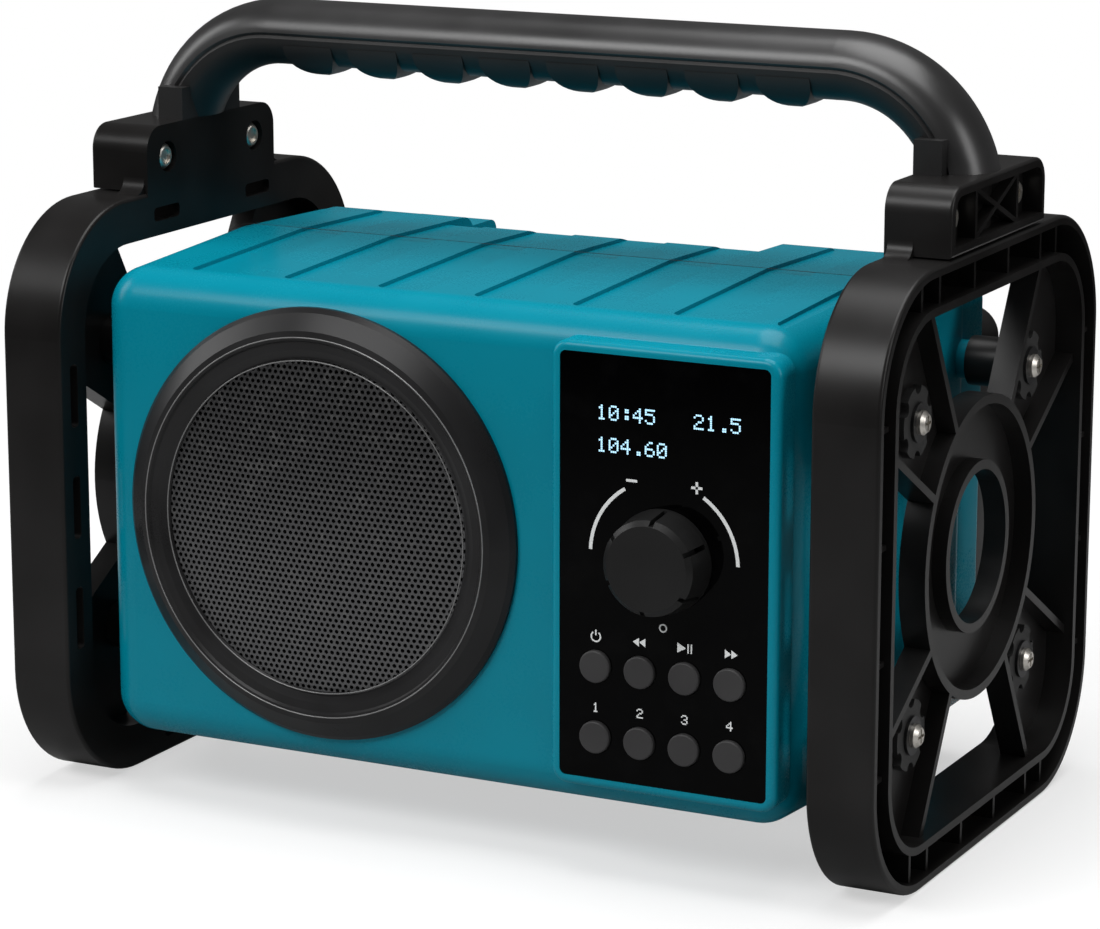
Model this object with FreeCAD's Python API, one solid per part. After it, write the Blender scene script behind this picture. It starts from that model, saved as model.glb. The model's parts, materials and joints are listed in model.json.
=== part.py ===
import FreeCAD, Part
import math
import os

from FreeCAD import Vector

# Jobsite radio: a teal two-shell body held between two black side frames,
# with a bolted-on carrying handle.  Millimetres, +Z up, front faces -Y.
# Y is measured from the middle of the side frames; the finished pieces are
# shifted along Y so that the origin is under the middle of the whole object.

# Overall sizes that the rest follows
BODY_HALF_WIDTH = 122.1
BODY_FRONT_Y = -85.2
SEAM_Y = -3.6
BODY_REAR_Y = 54.0
BODY_BACK_Y = 70.0
FRAME_HEIGHT = 190.0
BODY_TOP_DROP = 13.7
BODY_BOTTOM_Z = 18.6
BODY_TOP_Z = FRAME_HEIGHT - BODY_TOP_DROP

# Side frames
FRAME_BODY_GAP = 6.5
FRAME_THICK = 21.4
FRAME_IN_X = BODY_HALF_WIDTH + FRAME_BODY_GAP
FRAME_OUT_X = FRAME_IN_X + FRAME_THICK
FRAME_HALF_DEPTH = 93.0
FRAME_CORNER_R = 40.0
FRAME_BAR = 14.5
FRAME_OUTER_WALL = 3.0
FRAME_INNER_WALL = 2.5
FRAME_FLOOR = 2.5
FRAME_EDGE_R = 1.2
FRAME_RIB_THICK = 1.6
FRAME_RIB_RECESS = 2.2
FRAME_RIB_PITCH = 28.6
FRAME_SIDE_RIB_PITCH = 35.0
FRAME_CORNER_RIB_Y = 55.0
FRAME_SLOT_LENGTH = 15.5
FRAME_SLOT_HEIGHT = 4.5
FRAME_SIDE_SLOT_LENGTH = 20.5
FRAME_SIDE_SLOT_WIDTH = 4.0
FRAME_SIDE_SLOT_PITCH = 36.5

# Hub and web inside each side frame
HUB_R = 47.5
HUB_LIP_WALL = 3.0
HUB_LIP_OUT_X = FRAME_OUT_X - 3.0
HUB_HOLE_R = 24.0
HUB_SECTORS = 8
HUB_RING_WALL = 3.0
HUB_RING_OUT_X = FRAME_OUT_X - 4.3
WEB_IN_X = FRAME_OUT_X - 11.5
WEB_OUT_X = WEB_IN_X + 2.5
WEB_RIB_THICK = 2.5
WEB_RIB_ANGLES = (30.0, 60.0)

# Screws that hold the frames to the body
FIXING_Y = 47.6
FIXING_Z_HALF_PITCH = 48.15
FIXING_SEAT_X = BODY_HALF_WIDTH + 2.4
FRAME_BOSS_R = 8.0
BODY_BOSS_R = 6.2
BODY_BOSS_DEPTH = 16.0
FIXING_SHANK_R = 2.0
FIXING_CLEARANCE = 0.3
FIXING_HEAD_R = 3.7
FIXING_HEAD_HEIGHT = 2.3
WASHER_R = 6.0
WASHER_THICK = 1.0
GROMMET_R = 11.0
GROMMET_THICK = 2.6
GROMMET_NECK_R = 5.0
GROMMET_NECK_LENGTH = 6.5
GROMMET_NOTCHES = 6
GROMMET_NOTCH_R = 2.4

# Handle clamp blocks on top of the frames
BLOCK_HALF_Y = 39.9
BLOCK_HEIGHT = 21.4
BLOCK_CORNER_R = 8.0
BLOCK_BASE_FILLET = 5.0
CLAMP_SEAM_X = FRAME_OUT_X - 12.2
CLAMP_BASE_GAP = 0.6
CLAMP_LIP = 3.0
CLAMP_POCKET_DEPTH = 6.5
CLAMP_RIB_Y = 17.5
CLAMP_RIB_THICK = 1.8
CLAMP_BRACE_THICK = 1.6
CLAMP_RIB_RECESS = 1.0
BOLT_Y = 27.3
BOLT_SHANK_R = 2.5
BOLT_HEAD_R = 4.3
BOLT_HEAD_HEIGHT = 2.4
BOLT_SEAT_DEPTH = 3.2

# Handle
HANDLE_RISE = 50.5
HANDLE_AXIS_Z = FRAME_HEIGHT + HANDLE_RISE
HANDLE_BEND_R = 40.0
HANDLE_HALF_THICK = 10.65
HANDLE_HALF_WIDTH = 14.0
HANDLE_SEAM_CUT = 0.7
TENON_HALF_X = 5.6
TENON_HALF_Y = 11.0
TENON_LENGTH = 17.0
TENON_WALL = 2.2
GRIP_COUNT = 8
GRIP_PITCH = 23.9
GRIP_WIDTH = 13.0
GRIP_HEIGHT = 2.8
FLANGE_HALF_Y = 18.0
FLANGE_HEIGHT = 10.6

# Body shells
FRONT_DRAFT_DEG = 2.2
REAR_DRAFT_DEG = 1.5
BODY_EDGE_R = 13.0
BODY_FRONT_R = 12.0
BODY_FRONT_INNER_R = 3.0
BODY_REAR_R = 8.0
BODY_STEP_DROP = 5.0
BODY_STEP_EDGE_R = 4.0
SHELL_WALL = 3.0
STRIP_PITCH = 33.4
STRIP_WIDTH = 16.7
RECESS_DEPTH = 1.2
RECESS_FRONT_Y = -74.0
SCOOP_HALF_X = 58.45
SCOOP_START_Y = 21.0
SCOOP_R = 45.0
SCOOP_LEDGE_DROP = 18.3
GASKET_INSET = 1.0
GASKET_WIDTH = 1.0
GASKET_HALF_HEIGHT = 0.6
SHELL_POST_X = BODY_HALF_WIDTH - 13.1
SHELL_POST_LOW_Z = BODY_BOTTOM_Z + 10.9
SHELL_POST_HIGH_Z = BODY_TOP_Z - 10.8
SHELL_POST_R = 4.2
SHELL_SCREW_R = 1.6
SHELL_SCREW_HEAD_R = 3.1
SHELL_SCREW_HEAD = 2.0
SHELL_SCREW_GRIP = 18.0

# Control panel
PANEL_WIDTH = 68.1
PANEL_SIDE_MARGIN = 6.2
PANEL_TOP_MARGIN = 12.4
PANEL_BOTTOM_MARGIN = 14.7
PANEL_X1 = BODY_HALF_WIDTH - PANEL_SIDE_MARGIN
PANEL_X0 = PANEL_X1 - PANEL_WIDTH
PANEL_Z0 = BODY_BOTTOM_Z + PANEL_BOTTOM_MARGIN
PANEL_Z1 = BODY_TOP_Z - PANEL_TOP_MARGIN
PANEL_FRONT_Y = -92.2
PANEL_THICK = 2.5
PANEL_CORNER_R = 2.0
PANEL_RIM = 3.1
PANEL_RIM_R = 5.5
PANEL_RIM_EDGE_R = 2.2
PANEL_LEDGE = 4.2
BOARD_THICK = 1.6
BOARD_OVERLAP = 1.2
BOARD_SPACING = 22.0
BOARD_Y = -81.0
DISPLAY_X = PANEL_X1 - 33.9
DISPLAY_Z = PANEL_Z1 - 21.9
DISPLAY_HALF_X = 27.0
DISPLAY_HALF_Z = 11.0
DISPLAY_DEPTH = 4.0

# Control knob and its encoder
KNOB_X = PANEL_X1 - 33.9
KNOB_Z = PANEL_Z1 - 60.4
KNOB_BASE_R = 15.75
KNOB_FRONT_R = 14.5
KNOB_FACE_R = 12.9
KNOB_HEIGHT = 11.8
KNOB_GAP = 0.4
KNOB_BEVEL = 1.4
KNOB_NOTCHES = 6
KNOB_NOTCH_WIDTH = 1.5
KNOB_NOTCH_DEPTH = 1.5
KNOB_FIRST_NOTCH_DEG = 24.0
SHAFT_R = 3.0
SHAFT_RUN = 0.08
ENCODER_HALF = 6.5
ENCODER_DEPTH = 5.5
BUSHING_R = 4.4

# Push buttons
BUTTON_COLUMNS = 4
BUTTON_ROWS_Z = (PANEL_Z0 + 35.1, PANEL_Z0 + 13.1)
BUTTON_PITCH_X = 14.65
BUTTON_R = 5.0
BUTTON_PROUD = 1.4
BUTTON_EDGE_R = 0.6
BUTTON_GAP = 0.25
BUTTON_FLANGE_R = 6.2
BUTTON_FLANGE = 1.0
BUTTON_STEM_R = 1.9
BUTTON_TRAVEL = 1.2
BUTTON_STOP_GAP = 0.3
SWITCH_HALF = 3.1
SWITCH_HEIGHT = 1.5
MAT_THICK = 1.4

# Loudspeaker
SPEAKER_SIDE_MARGIN = 15.2
SPEAKER_PANEL_GAP = 17.7
SPEAKER_TOP_MARGIN = 8.4
SPEAKER_BOTTOM_MARGIN = 12.3
SPEAKER_ROOM_X = BODY_HALF_WIDTH + PANEL_X0 - SPEAKER_SIDE_MARGIN - SPEAKER_PANEL_GAP
SPEAKER_ROOM_Z = BODY_TOP_Z - BODY_BOTTOM_Z - SPEAKER_TOP_MARGIN - SPEAKER_BOTTOM_MARGIN
BEZEL_R = min(SPEAKER_ROOM_X, SPEAKER_ROOM_Z) / 2.0
SPEAKER_X = -BODY_HALF_WIDTH + SPEAKER_SIDE_MARGIN + BEZEL_R
SPEAKER_Z = BODY_BOTTOM_Z + SPEAKER_BOTTOM_MARGIN + SPEAKER_ROOM_Z / 2.0
BEZEL_RIDGE_R = BEZEL_R - 8.5
BEZEL_INNER_R = BEZEL_R - 15.9
BEZEL_HEIGHT = 6.9
GRILLE_R = BEZEL_INNER_R + 2.0
GRILLE_THICK = 1.0
GRILLE_DOME = 3.4
GRILLE_EDGE_DEPTH = 3.4
SPEAKER_HOLE_R = BEZEL_R - 18.5
BASKET_FLANGE_R = BEZEL_R - 5.0
BASKET_FLANGE_THICK = 2.0
SPEAKER_GASKET = 1.0
SPEAKER_DEPTH = 34.0
MAGNET_R = 30.0
MAGNET_THICK = 16.0
CONE_R = BEZEL_R - 25.5
CONE_PAPER = 0.8
SURROUND_R = BEZEL_R - 19.0
VOICE_R = 14.0
SPEAKER_SCREW_PCD_R = BEZEL_R - 10.5
SPEAKER_SCREWS = 4
SPEAKER_SCREW_R = 1.5
SPEAKER_PEG_R = 3.0

# Back cover, battery compartment and door
COVER_HALF_X = BODY_HALF_WIDTH - 3.1
COVER_Z0 = BODY_BOTTOM_Z + 5.4
COVER_Z1 = BODY_TOP_Z - 23.3
COVER_REAR_Y = BODY_BACK_Y + 18.0
COVER_WALL = 2.5
COVER_CORNER_R = 10.0
COVER_EDGE_R = 3.0
COVER_LAND = 6.0
COVER_SCREW_X = COVER_HALF_X - 9.5
PORT_WIDTH = 22.0
PORT_HEIGHT = 32.0
PORT_SIDE_MARGIN = 8.5
PORT_TOP_MARGIN = 8.0
PORT_BAY_GAP = 16.5
PORT_X0 = -COVER_HALF_X + PORT_SIDE_MARGIN
PORT_X1 = PORT_X0 + PORT_WIDTH
PORT_Z1 = COVER_Z1 - PORT_TOP_MARGIN
PORT_Z0 = PORT_Z1 - PORT_HEIGHT
COVER_SCREW_LOW_Z = COVER_Z0 + 17.5
COVER_SCREW_HIGH_Z = PORT_Z0 - 12.0
BAY_HALF_X = -PORT_X1 - PORT_BAY_GAP
BAY_Z0 = COVER_Z0 + 16.5
BAY_Z1 = BAY_Z0 + 76.0
BAY_WALL = 2.0
CELL_R = 16.6
CELL_GAP = 1.0
SPRING_ROOM = 9.5
CELL_LENGTH = BAY_HALF_X - CELL_GAP - SPRING_ROOM
CONTACT_THICK = 0.6
SPRING_R = 6.0
SPRING_WIRE = 1.0
DOOR_GAP = 0.5
DOOR_THICK = 2.4
HINGE_R = 2.4
HINGE_PIN_R = 1.1
HINGE_RUN = 0.08
HINGE_OUT = 1.4
HINGE_KNUCKLE = 10.0
HINGE_X = 46.0
DOOR_SCREW_R = 6.0
DOOR_SCREW_SHANK_R = 2.4
DOOR_SCREW_INSET = 9.5

# Sockets and their rubber flap
PORT_DEPTH = 15.0
AUX_DEPTH = 12.5
DC_DEPTH = 9.5
FLAP_THICK = 1.6
FLAP_GAP = 0.3
AUX_R = 1.8
DC_R = 2.8
DC_PIN_R = 1.0

# Whip antenna folded along the top of the back cover
ANTENNA_X = COVER_HALF_X - 21.0
ANTENNA_Y = BODY_BACK_Y + 9.5
ANTENNA_Z = COVER_Z1 + 7.5
ANTENNA_LENGTH = 2.0 * ANTENNA_X - 20.0
ANTENNA_BASE_R = 4.2
ANTENNA_TIP_R = 3.0
ANTENNA_EAR_THICK = 3.0
ANTENNA_EAR_R = 4.6
ANTENNA_KNUCKLE_HALF = 3.5
ANTENNA_PIN_R = 1.5
ANTENNA_RUN = 0.08
ANTENNA_SADDLE_X = -ANTENNA_X + 40.0

# Worked-out values
FRAME_MID_Z = FRAME_HEIGHT / 2.0
HUB_Z = FRAME_MID_Z - 0.5
FIXING_Z = (HUB_Z - FIXING_Z_HALF_PITCH, HUB_Z + FIXING_Z_HALF_PITCH)
LEG_X = FRAME_OUT_X - FRAME_THICK / 2.0
BLOCK_TOP_Z = FRAME_HEIGHT + BLOCK_HEIGHT
BOLT_Z = FRAME_HEIGHT + BLOCK_HEIGHT / 2.0
PANEL_BACK_Y = PANEL_FRONT_Y + PANEL_THICK
INNER_FRONT_Y = BODY_FRONT_Y + SHELL_WALL
COVER_INNER_Y = COVER_REAR_Y - COVER_WALL
KNOB_BACK_Y = PANEL_FRONT_Y - KNOB_GAP
KNOB_FACE_Y = KNOB_BACK_Y - KNOB_HEIGHT
ORIGIN_SHIFT_Y = -(KNOB_FACE_Y + FRAME_HALF_DEPTH) / 2.0
BUTTON_MID_X = (PANEL_X0 + PANEL_X1) / 2.0
BUTTON_FRONT_Y = PANEL_FRONT_Y - BUTTON_PROUD
SWITCH_TOP_Y = BOARD_Y - SWITCH_HEIGHT
STEM_END_Y = SWITCH_TOP_Y - BUTTON_STOP_GAP - BUTTON_TRAVEL
SPEAKER_BACK_Y = INNER_FRONT_Y + SPEAKER_GASKET + BASKET_FLANGE_THICK
MAGNET_Y = SPEAKER_BACK_Y + SPEAKER_DEPTH
MOTION_AXIS = {"X": Vector(1, 0, 0), "Y": Vector(0, 1, 0), "Z": Vector(0, 0, 1)}


def at(axis, pos, a, b):
    """A point pos along an axis; a and b run along the other two axes in X, Y, Z order."""
    if axis == "X":
        return Vector(pos, a, b)
    if axis == "Y":
        return Vector(a, pos, b)
    return Vector(a, b, pos)


def prism(axis, lo, hi, points):
    """A polygon given in the plane square to an axis, carried from lo to hi."""
    corners = [at(axis, lo, a, b) for a, b in points]
    face = Part.Face(Part.makePolygon(corners + corners[:1]))
    return face.extrude(MOTION_AXIS[axis] * (hi - lo))


def rounded_wire(axis, pos, a0, a1, b0, b1, r):
    """A rectangle with four corner arcs, in the plane square to an axis."""
    diagonal = r * (1.0 - math.sqrt(0.5))
    edges = []
    corners = ((a1, b0, -1, 1), (a1, b1, -1, -1), (a0, b1, 1, -1), (a0, b0, 1, 1))
    arcs = []
    for index, (a, b, da, db) in enumerate(corners):
        on_b_side = at(axis, pos, a + da * r, b)
        on_a_side = at(axis, pos, a, b + db * r)
        middle = at(axis, pos, a + da * diagonal, b + db * diagonal)
        first, last = (on_b_side, on_a_side) if index % 2 == 0 else (on_a_side, on_b_side)
        arcs.append((first, middle, last))
    for index, (first, middle, last) in enumerate(arcs):
        edges.append(Part.Arc(first, middle, last).toShape())
        following = arcs[(index + 1) % 4][0]
        if last.distanceToPoint(following) > 1e-6:
            edges.append(Part.LineSegment(last, following).toShape())
    return Part.Wire(edges)


def slab(axis, lo, hi, a0, a1, b0, b1, r=0.0):
    """A plate between two positions on an axis, with corner radius r."""
    if r <= 0.0:
        return prism(axis, lo, hi, ((a0, b0), (a1, b0), (a1, b1), (a0, b1)))
    face = Part.Face(rounded_wire(axis, lo, a0, a1, b0, b1, r))
    return face.extrude(MOTION_AXIS[axis] * (hi - lo))


def rod(axis, lo, hi, a, b, r):
    """A round bar along an axis."""
    return Part.makeCylinder(r, hi - lo, at(axis, lo, a, b), MOTION_AXIS[axis])


def pipe(axis, lo, hi, a, b, r_out, r_in):
    """A round tube along an axis."""
    return rod(axis, lo, hi, a, b, r_out).cut(rod(axis, lo, hi, a, b, r_in))


def fuse(shapes):
    """One solid from overlapping or touching shapes."""
    first = shapes[0]
    return first.fuse(shapes[1:]) if len(shapes) > 1 else first


def turned(profile, centre, axis):
    """A closed profile of (radius, height) points turned a full circle about an axis.

    The profile's heights are positions along Y when the axis is Y, and along X when it is X.
    """
    if axis == "Y":
        points = [Vector(centre[0] + r, h, centre[1]) for r, h in profile]
        base = Vector(centre[0], 0, centre[1])
    else:
        points = [Vector(h, centre[0] + r, centre[1]) for r, h in profile]
        base = Vector(0, centre[0], centre[1])
    face = Part.Face(Part.makePolygon(points + points[:1]))
    return face.revolve(base, MOTION_AXIS[axis], 360)


def mirrored(shape):
    """The same piece on the other side of the object."""
    return shape.mirror(Vector(0, 0, 0), Vector(1, 0, 0))


def near(value, target, tolerance=0.01):
    """Whether a coordinate lies at a target."""
    return abs(value - target) < tolerance


PARTS = {}


def keep(name, *solids):
    """Record one node, as one solid or as a group of alike solids."""
    PARTS[name] = solids[0] if len(solids) == 1 else Part.makeCompound(list(solids))


# Side frame: a rounded channel section with ribs, around a web with an open hub

def frame_ribs():
    """Thin walls across the channel, set back from its open face."""
    lo = FRAME_IN_X + FRAME_FLOOR - 0.2
    hi = FRAME_OUT_X - FRAME_RIB_RECESS
    half = FRAME_RIB_THICK / 2.0
    low = FRAME_OUTER_WALL - 0.5
    high = FRAME_BAR - FRAME_INNER_WALL + 0.5
    across = [(k + 0.5) * FRAME_RIB_PITCH for k in (-2, -1, 0, 1)]
    across += [FRAME_CORNER_RIB_Y + 2.0, -FRAME_CORNER_RIB_Y - 2.0]
    ribs = []
    for y in across:
        ribs.append(slab("X", lo, hi, y - half, y + half, low, high))
        ribs.append(slab("X", lo, hi, y - half, y + half, FRAME_HEIGHT - high, FRAME_HEIGHT - low))
    inner = FRAME_HALF_DEPTH - high
    outer = FRAME_HALF_DEPTH - low
    for k in (-1.5, -0.5, 0.5, 1.5):
        z = FRAME_MID_Z + k * FRAME_SIDE_RIB_PITCH
        ribs.append(slab("X", lo, hi, inner, outer, z - half, z + half))
        ribs.append(slab("X", lo, hi, -outer, -inner, z - half, z + half))
    return ribs


def frame_slots():
    """Drain slots through the channel's floor."""
    lo = FRAME_IN_X - 1.0
    hi = FRAME_IN_X + FRAME_FLOOR + 1.0
    middle = (FRAME_OUTER_WALL + FRAME_BAR - FRAME_INNER_WALL) / 2.0
    long_half = FRAME_SLOT_LENGTH / 2.0
    tall_half = FRAME_SLOT_HEIGHT / 2.0
    side_half = FRAME_SIDE_SLOT_LENGTH / 2.0
    thin_half = FRAME_SIDE_SLOT_WIDTH / 2.0
    slots = []
    for y in (-FRAME_RIB_PITCH, FRAME_RIB_PITCH):
        for z in (middle, FRAME_HEIGHT - middle):
            slots.append(slab("X", lo, hi, y - long_half, y + long_half, z - tall_half, z + tall_half,
                              1.5))
    for k in (-1, 0, 1):
        z = FRAME_MID_Z + k * FRAME_SIDE_SLOT_PITCH
        for y in (middle - FRAME_HALF_DEPTH, FRAME_HALF_DEPTH - middle):
            slots.append(slab("X", lo, hi, y - thin_half, y + thin_half, z - side_half, z + side_half,
                              1.5))
    return slots


def frame_web():
    """The hub, its inner ring, four corner plates and the ribs that carry them."""
    reach = FRAME_HEIGHT
    joined = HUB_R - HUB_LIP_WALL / 2.0
    pieces = []
    for quadrant in range(4):
        edge_points = []
        for angle in WEB_RIB_ANGLES:
            turn = math.radians(angle + 90.0 * quadrant)
            edge_points.append((math.cos(turn), math.sin(turn)))
            bar = slab("X", WEB_IN_X, HUB_LIP_OUT_X, joined, reach,
                       -WEB_RIB_THICK / 2.0, WEB_RIB_THICK / 2.0)
            bar.rotate(Vector(0, 0, 0), Vector(1, 0, 0), angle + 90.0 * quadrant)
            bar.translate(Vector(0, 0, HUB_Z))
            pieces.append(bar)
        (c0, s0), (c1, s1) = edge_points
        pieces.append(prism("X", WEB_IN_X, WEB_OUT_X, (
            (c0 * joined, HUB_Z + s0 * joined), (c0 * reach, HUB_Z + s0 * reach),
            (c1 * reach, HUB_Z + s1 * reach), (c1 * joined, HUB_Z + s1 * joined))))
    inside = FRAME_HALF_DEPTH - FRAME_BAR + FRAME_INNER_WALL / 2.0
    bounds = slab("X", WEB_IN_X, HUB_LIP_OUT_X, -inside, inside, FRAME_BAR - FRAME_INNER_WALL / 2.0,
                  FRAME_HEIGHT - FRAME_BAR + FRAME_INNER_WALL / 2.0,
                  FRAME_CORNER_R - FRAME_BAR + FRAME_INNER_WALL / 2.0)
    spokes = fuse(pieces).common(bounds)
    hub = fuse([
        rod("X", WEB_IN_X, WEB_OUT_X, 0, HUB_Z, HUB_R),
        pipe("X", WEB_IN_X, HUB_LIP_OUT_X, 0, HUB_Z, HUB_R, HUB_R - HUB_LIP_WALL),
        rod("X", WEB_IN_X, HUB_RING_OUT_X, 0, HUB_Z, HUB_HOLE_R + HUB_RING_WALL),
    ])
    clear_floor = rod("X", WEB_OUT_X, FRAME_OUT_X, 0, HUB_Z, HUB_R - HUB_LIP_WALL).cut(
        rod("X", WEB_OUT_X, FRAME_OUT_X, 0, HUB_Z, HUB_HOLE_R + HUB_RING_WALL))
    web = spokes.fuse(hub).cut(clear_floor)
    return web.cut(rod("X", FRAME_IN_X, FRAME_OUT_X, 0, HUB_Z, HUB_HOLE_R))


def fixing_places():
    """The four screw positions on a frame, as (y, z)."""
    return [(y, z) for y in (-FIXING_Y, FIXING_Y) for z in FIXING_Z]


def side_frame():
    """The right-hand frame with its half of the handle clamp."""
    depth = FRAME_HALF_DEPTH
    outer = slab("X", FRAME_IN_X, FRAME_OUT_X, -depth, depth, 0, FRAME_HEIGHT, FRAME_CORNER_R)
    outer = outer.makeFillet(FRAME_EDGE_R,
                             [edge for edge in outer.Edges if near(edge.BoundBox.XLength, 0.0)])
    inset = FRAME_BAR
    window = slab("X", FRAME_IN_X - 1, FRAME_OUT_X + 1, -depth + inset, depth - inset, inset,
                  FRAME_HEIGHT - inset, FRAME_CORNER_R - inset)
    wall = FRAME_OUTER_WALL
    channel = slab("X", FRAME_IN_X + FRAME_FLOOR, FRAME_OUT_X + 1, -depth + wall, depth - wall, wall,
                   FRAME_HEIGHT - wall, FRAME_CORNER_R - wall)
    core = inset - FRAME_INNER_WALL
    channel = channel.cut(slab("X", FRAME_IN_X, FRAME_OUT_X + 2, -depth + core, depth - core, core,
                               FRAME_HEIGHT - core, FRAME_CORNER_R - core))
    frame = outer.cut([window, channel])
    block = slab("X", FRAME_IN_X, CLAMP_SEAM_X, -BLOCK_HALF_Y, BLOCK_HALF_Y,
                 FRAME_HEIGHT - 2.0 * BLOCK_CORNER_R, BLOCK_TOP_Z, BLOCK_CORNER_R)
    block = block.common(slab("X", FRAME_IN_X, CLAMP_SEAM_X, -BLOCK_HALF_Y, BLOCK_HALF_Y,
                              FRAME_HEIGHT - FRAME_OUTER_WALL / 2.0, BLOCK_TOP_Z))
    flare = BLOCK_BASE_FILLET
    flares = []
    for side in (-1, 1):
        corner = side * BLOCK_HALF_Y
        wedge = prism("X", FRAME_IN_X + FRAME_EDGE_R, CLAMP_SEAM_X, (
            (corner, FRAME_HEIGHT - 0.5), (corner + side * flare, FRAME_HEIGHT - 0.5),
            (corner + side * flare, FRAME_HEIGHT), (corner, FRAME_HEIGHT + flare)))
        hollow = rod("X", FRAME_IN_X, CLAMP_SEAM_X, corner + side * flare, FRAME_HEIGHT + flare, flare)
        flares.append(wedge.cut(hollow))
    frame = fuse([frame, block, frame_web()] + frame_ribs() + flares)
    for y, z in fixing_places():
        frame = frame.fuse(rod("X", FIXING_SEAT_X, WEB_IN_X + 0.5, y, z, FRAME_BOSS_R))
    cuts = frame_slots() + [tenon(FIXING_CLEARANCE / 2.0)]
    for y, z in fixing_places():
        cuts.append(rod("X", FIXING_SEAT_X - 1, WEB_OUT_X + 1, y, z, FIXING_SHANK_R + FIXING_CLEARANCE))
        cuts.append(rod("X", WEB_OUT_X - GROMMET_NECK_LENGTH, WEB_OUT_X + 1, y, z, GROMMET_NECK_R))
    for y in (-BOLT_Y, BOLT_Y):
        cuts.append(rod("X", FRAME_IN_X - 1, CLAMP_SEAM_X + 1, y, BOLT_Z, BOLT_SHANK_R + 0.7))
        cuts.append(rod("X", FRAME_IN_X - 1, FRAME_IN_X + BOLT_SEAT_DEPTH, y, BOLT_Z, BOLT_HEAD_R + 0.8))
    return frame_solids(frame.cut(cuts))


def sector(a0, a1):
    """A wedge of the hub between two angles in degrees, measured from +Y towards +Z."""
    reach = 2.0 * HUB_R
    rim = [(reach * math.cos(math.radians(a)), HUB_Z + reach * math.sin(math.radians(a))) for a in (a0,
                                                                                                    a1)]
    return prism("X", FIXING_SEAT_X - 1, FRAME_OUT_X + 1, [(0.0, HUB_Z)] + rim)


def frame_solids(frame):
    """The frame as touching solids: eight sectors of the hub, four arms, four bars and four corners."""
    near_x, far_x = FIXING_SEAT_X - 1, FRAME_OUT_X + 1
    around_hub = rod("X", near_x, far_x, 0, HUB_Z, HUB_R)
    hub = frame.common(around_hub)
    solids = []
    for k in range(HUB_SECTORS):
        step = 360.0 / HUB_SECTORS
        solids += hub.common(sector(step * k, step * (k + 1))).Solids
    inside = slab("X", near_x, far_x, FRAME_BAR - FRAME_HALF_DEPTH, FRAME_HALF_DEPTH - FRAME_BAR,
                  FRAME_BAR,
                  FRAME_HEIGHT - FRAME_BAR, FRAME_CORNER_R - FRAME_BAR)
    solids += frame.common(inside).cut(around_hub).Solids
    rim = frame.cut(inside)
    y = FRAME_HALF_DEPTH - FRAME_CORNER_R
    z0, z1 = FRAME_CORNER_R, FRAME_HEIGHT - FRAME_CORNER_R
    far = BLOCK_TOP_Z + 1
    for y0, y1 in ((-far, -y), (-y, y), (y, far)):
        for low, high in ((-1, z0), (z0, z1), (z1, far)):
            solids += rim.common(slab("X", near_x, far_x, y0, y1, low, high)).Solids
    return solids


# Handle clamp, outer half

def tenon(grow=0.0):
    """The oval end of the handle that the clamp holds, or with grow its socket."""
    ellipse = Part.Ellipse(Vector(0, 0, 0), TENON_HALF_Y + grow, TENON_HALF_X + grow)
    face = Part.Face(Part.Wire(ellipse.toShape()))
    face.rotate(Vector(0, 0, 0), Vector(0, 0, 1), 90)
    top = 0.0 if grow == 0.0 else 1.0
    solid = face.extrude(Vector(0, 0, TENON_LENGTH + grow + top))
    solid.translate(Vector(CLAMP_SEAM_X, 0, BLOCK_TOP_Z - TENON_LENGTH - grow))
    return solid


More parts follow.
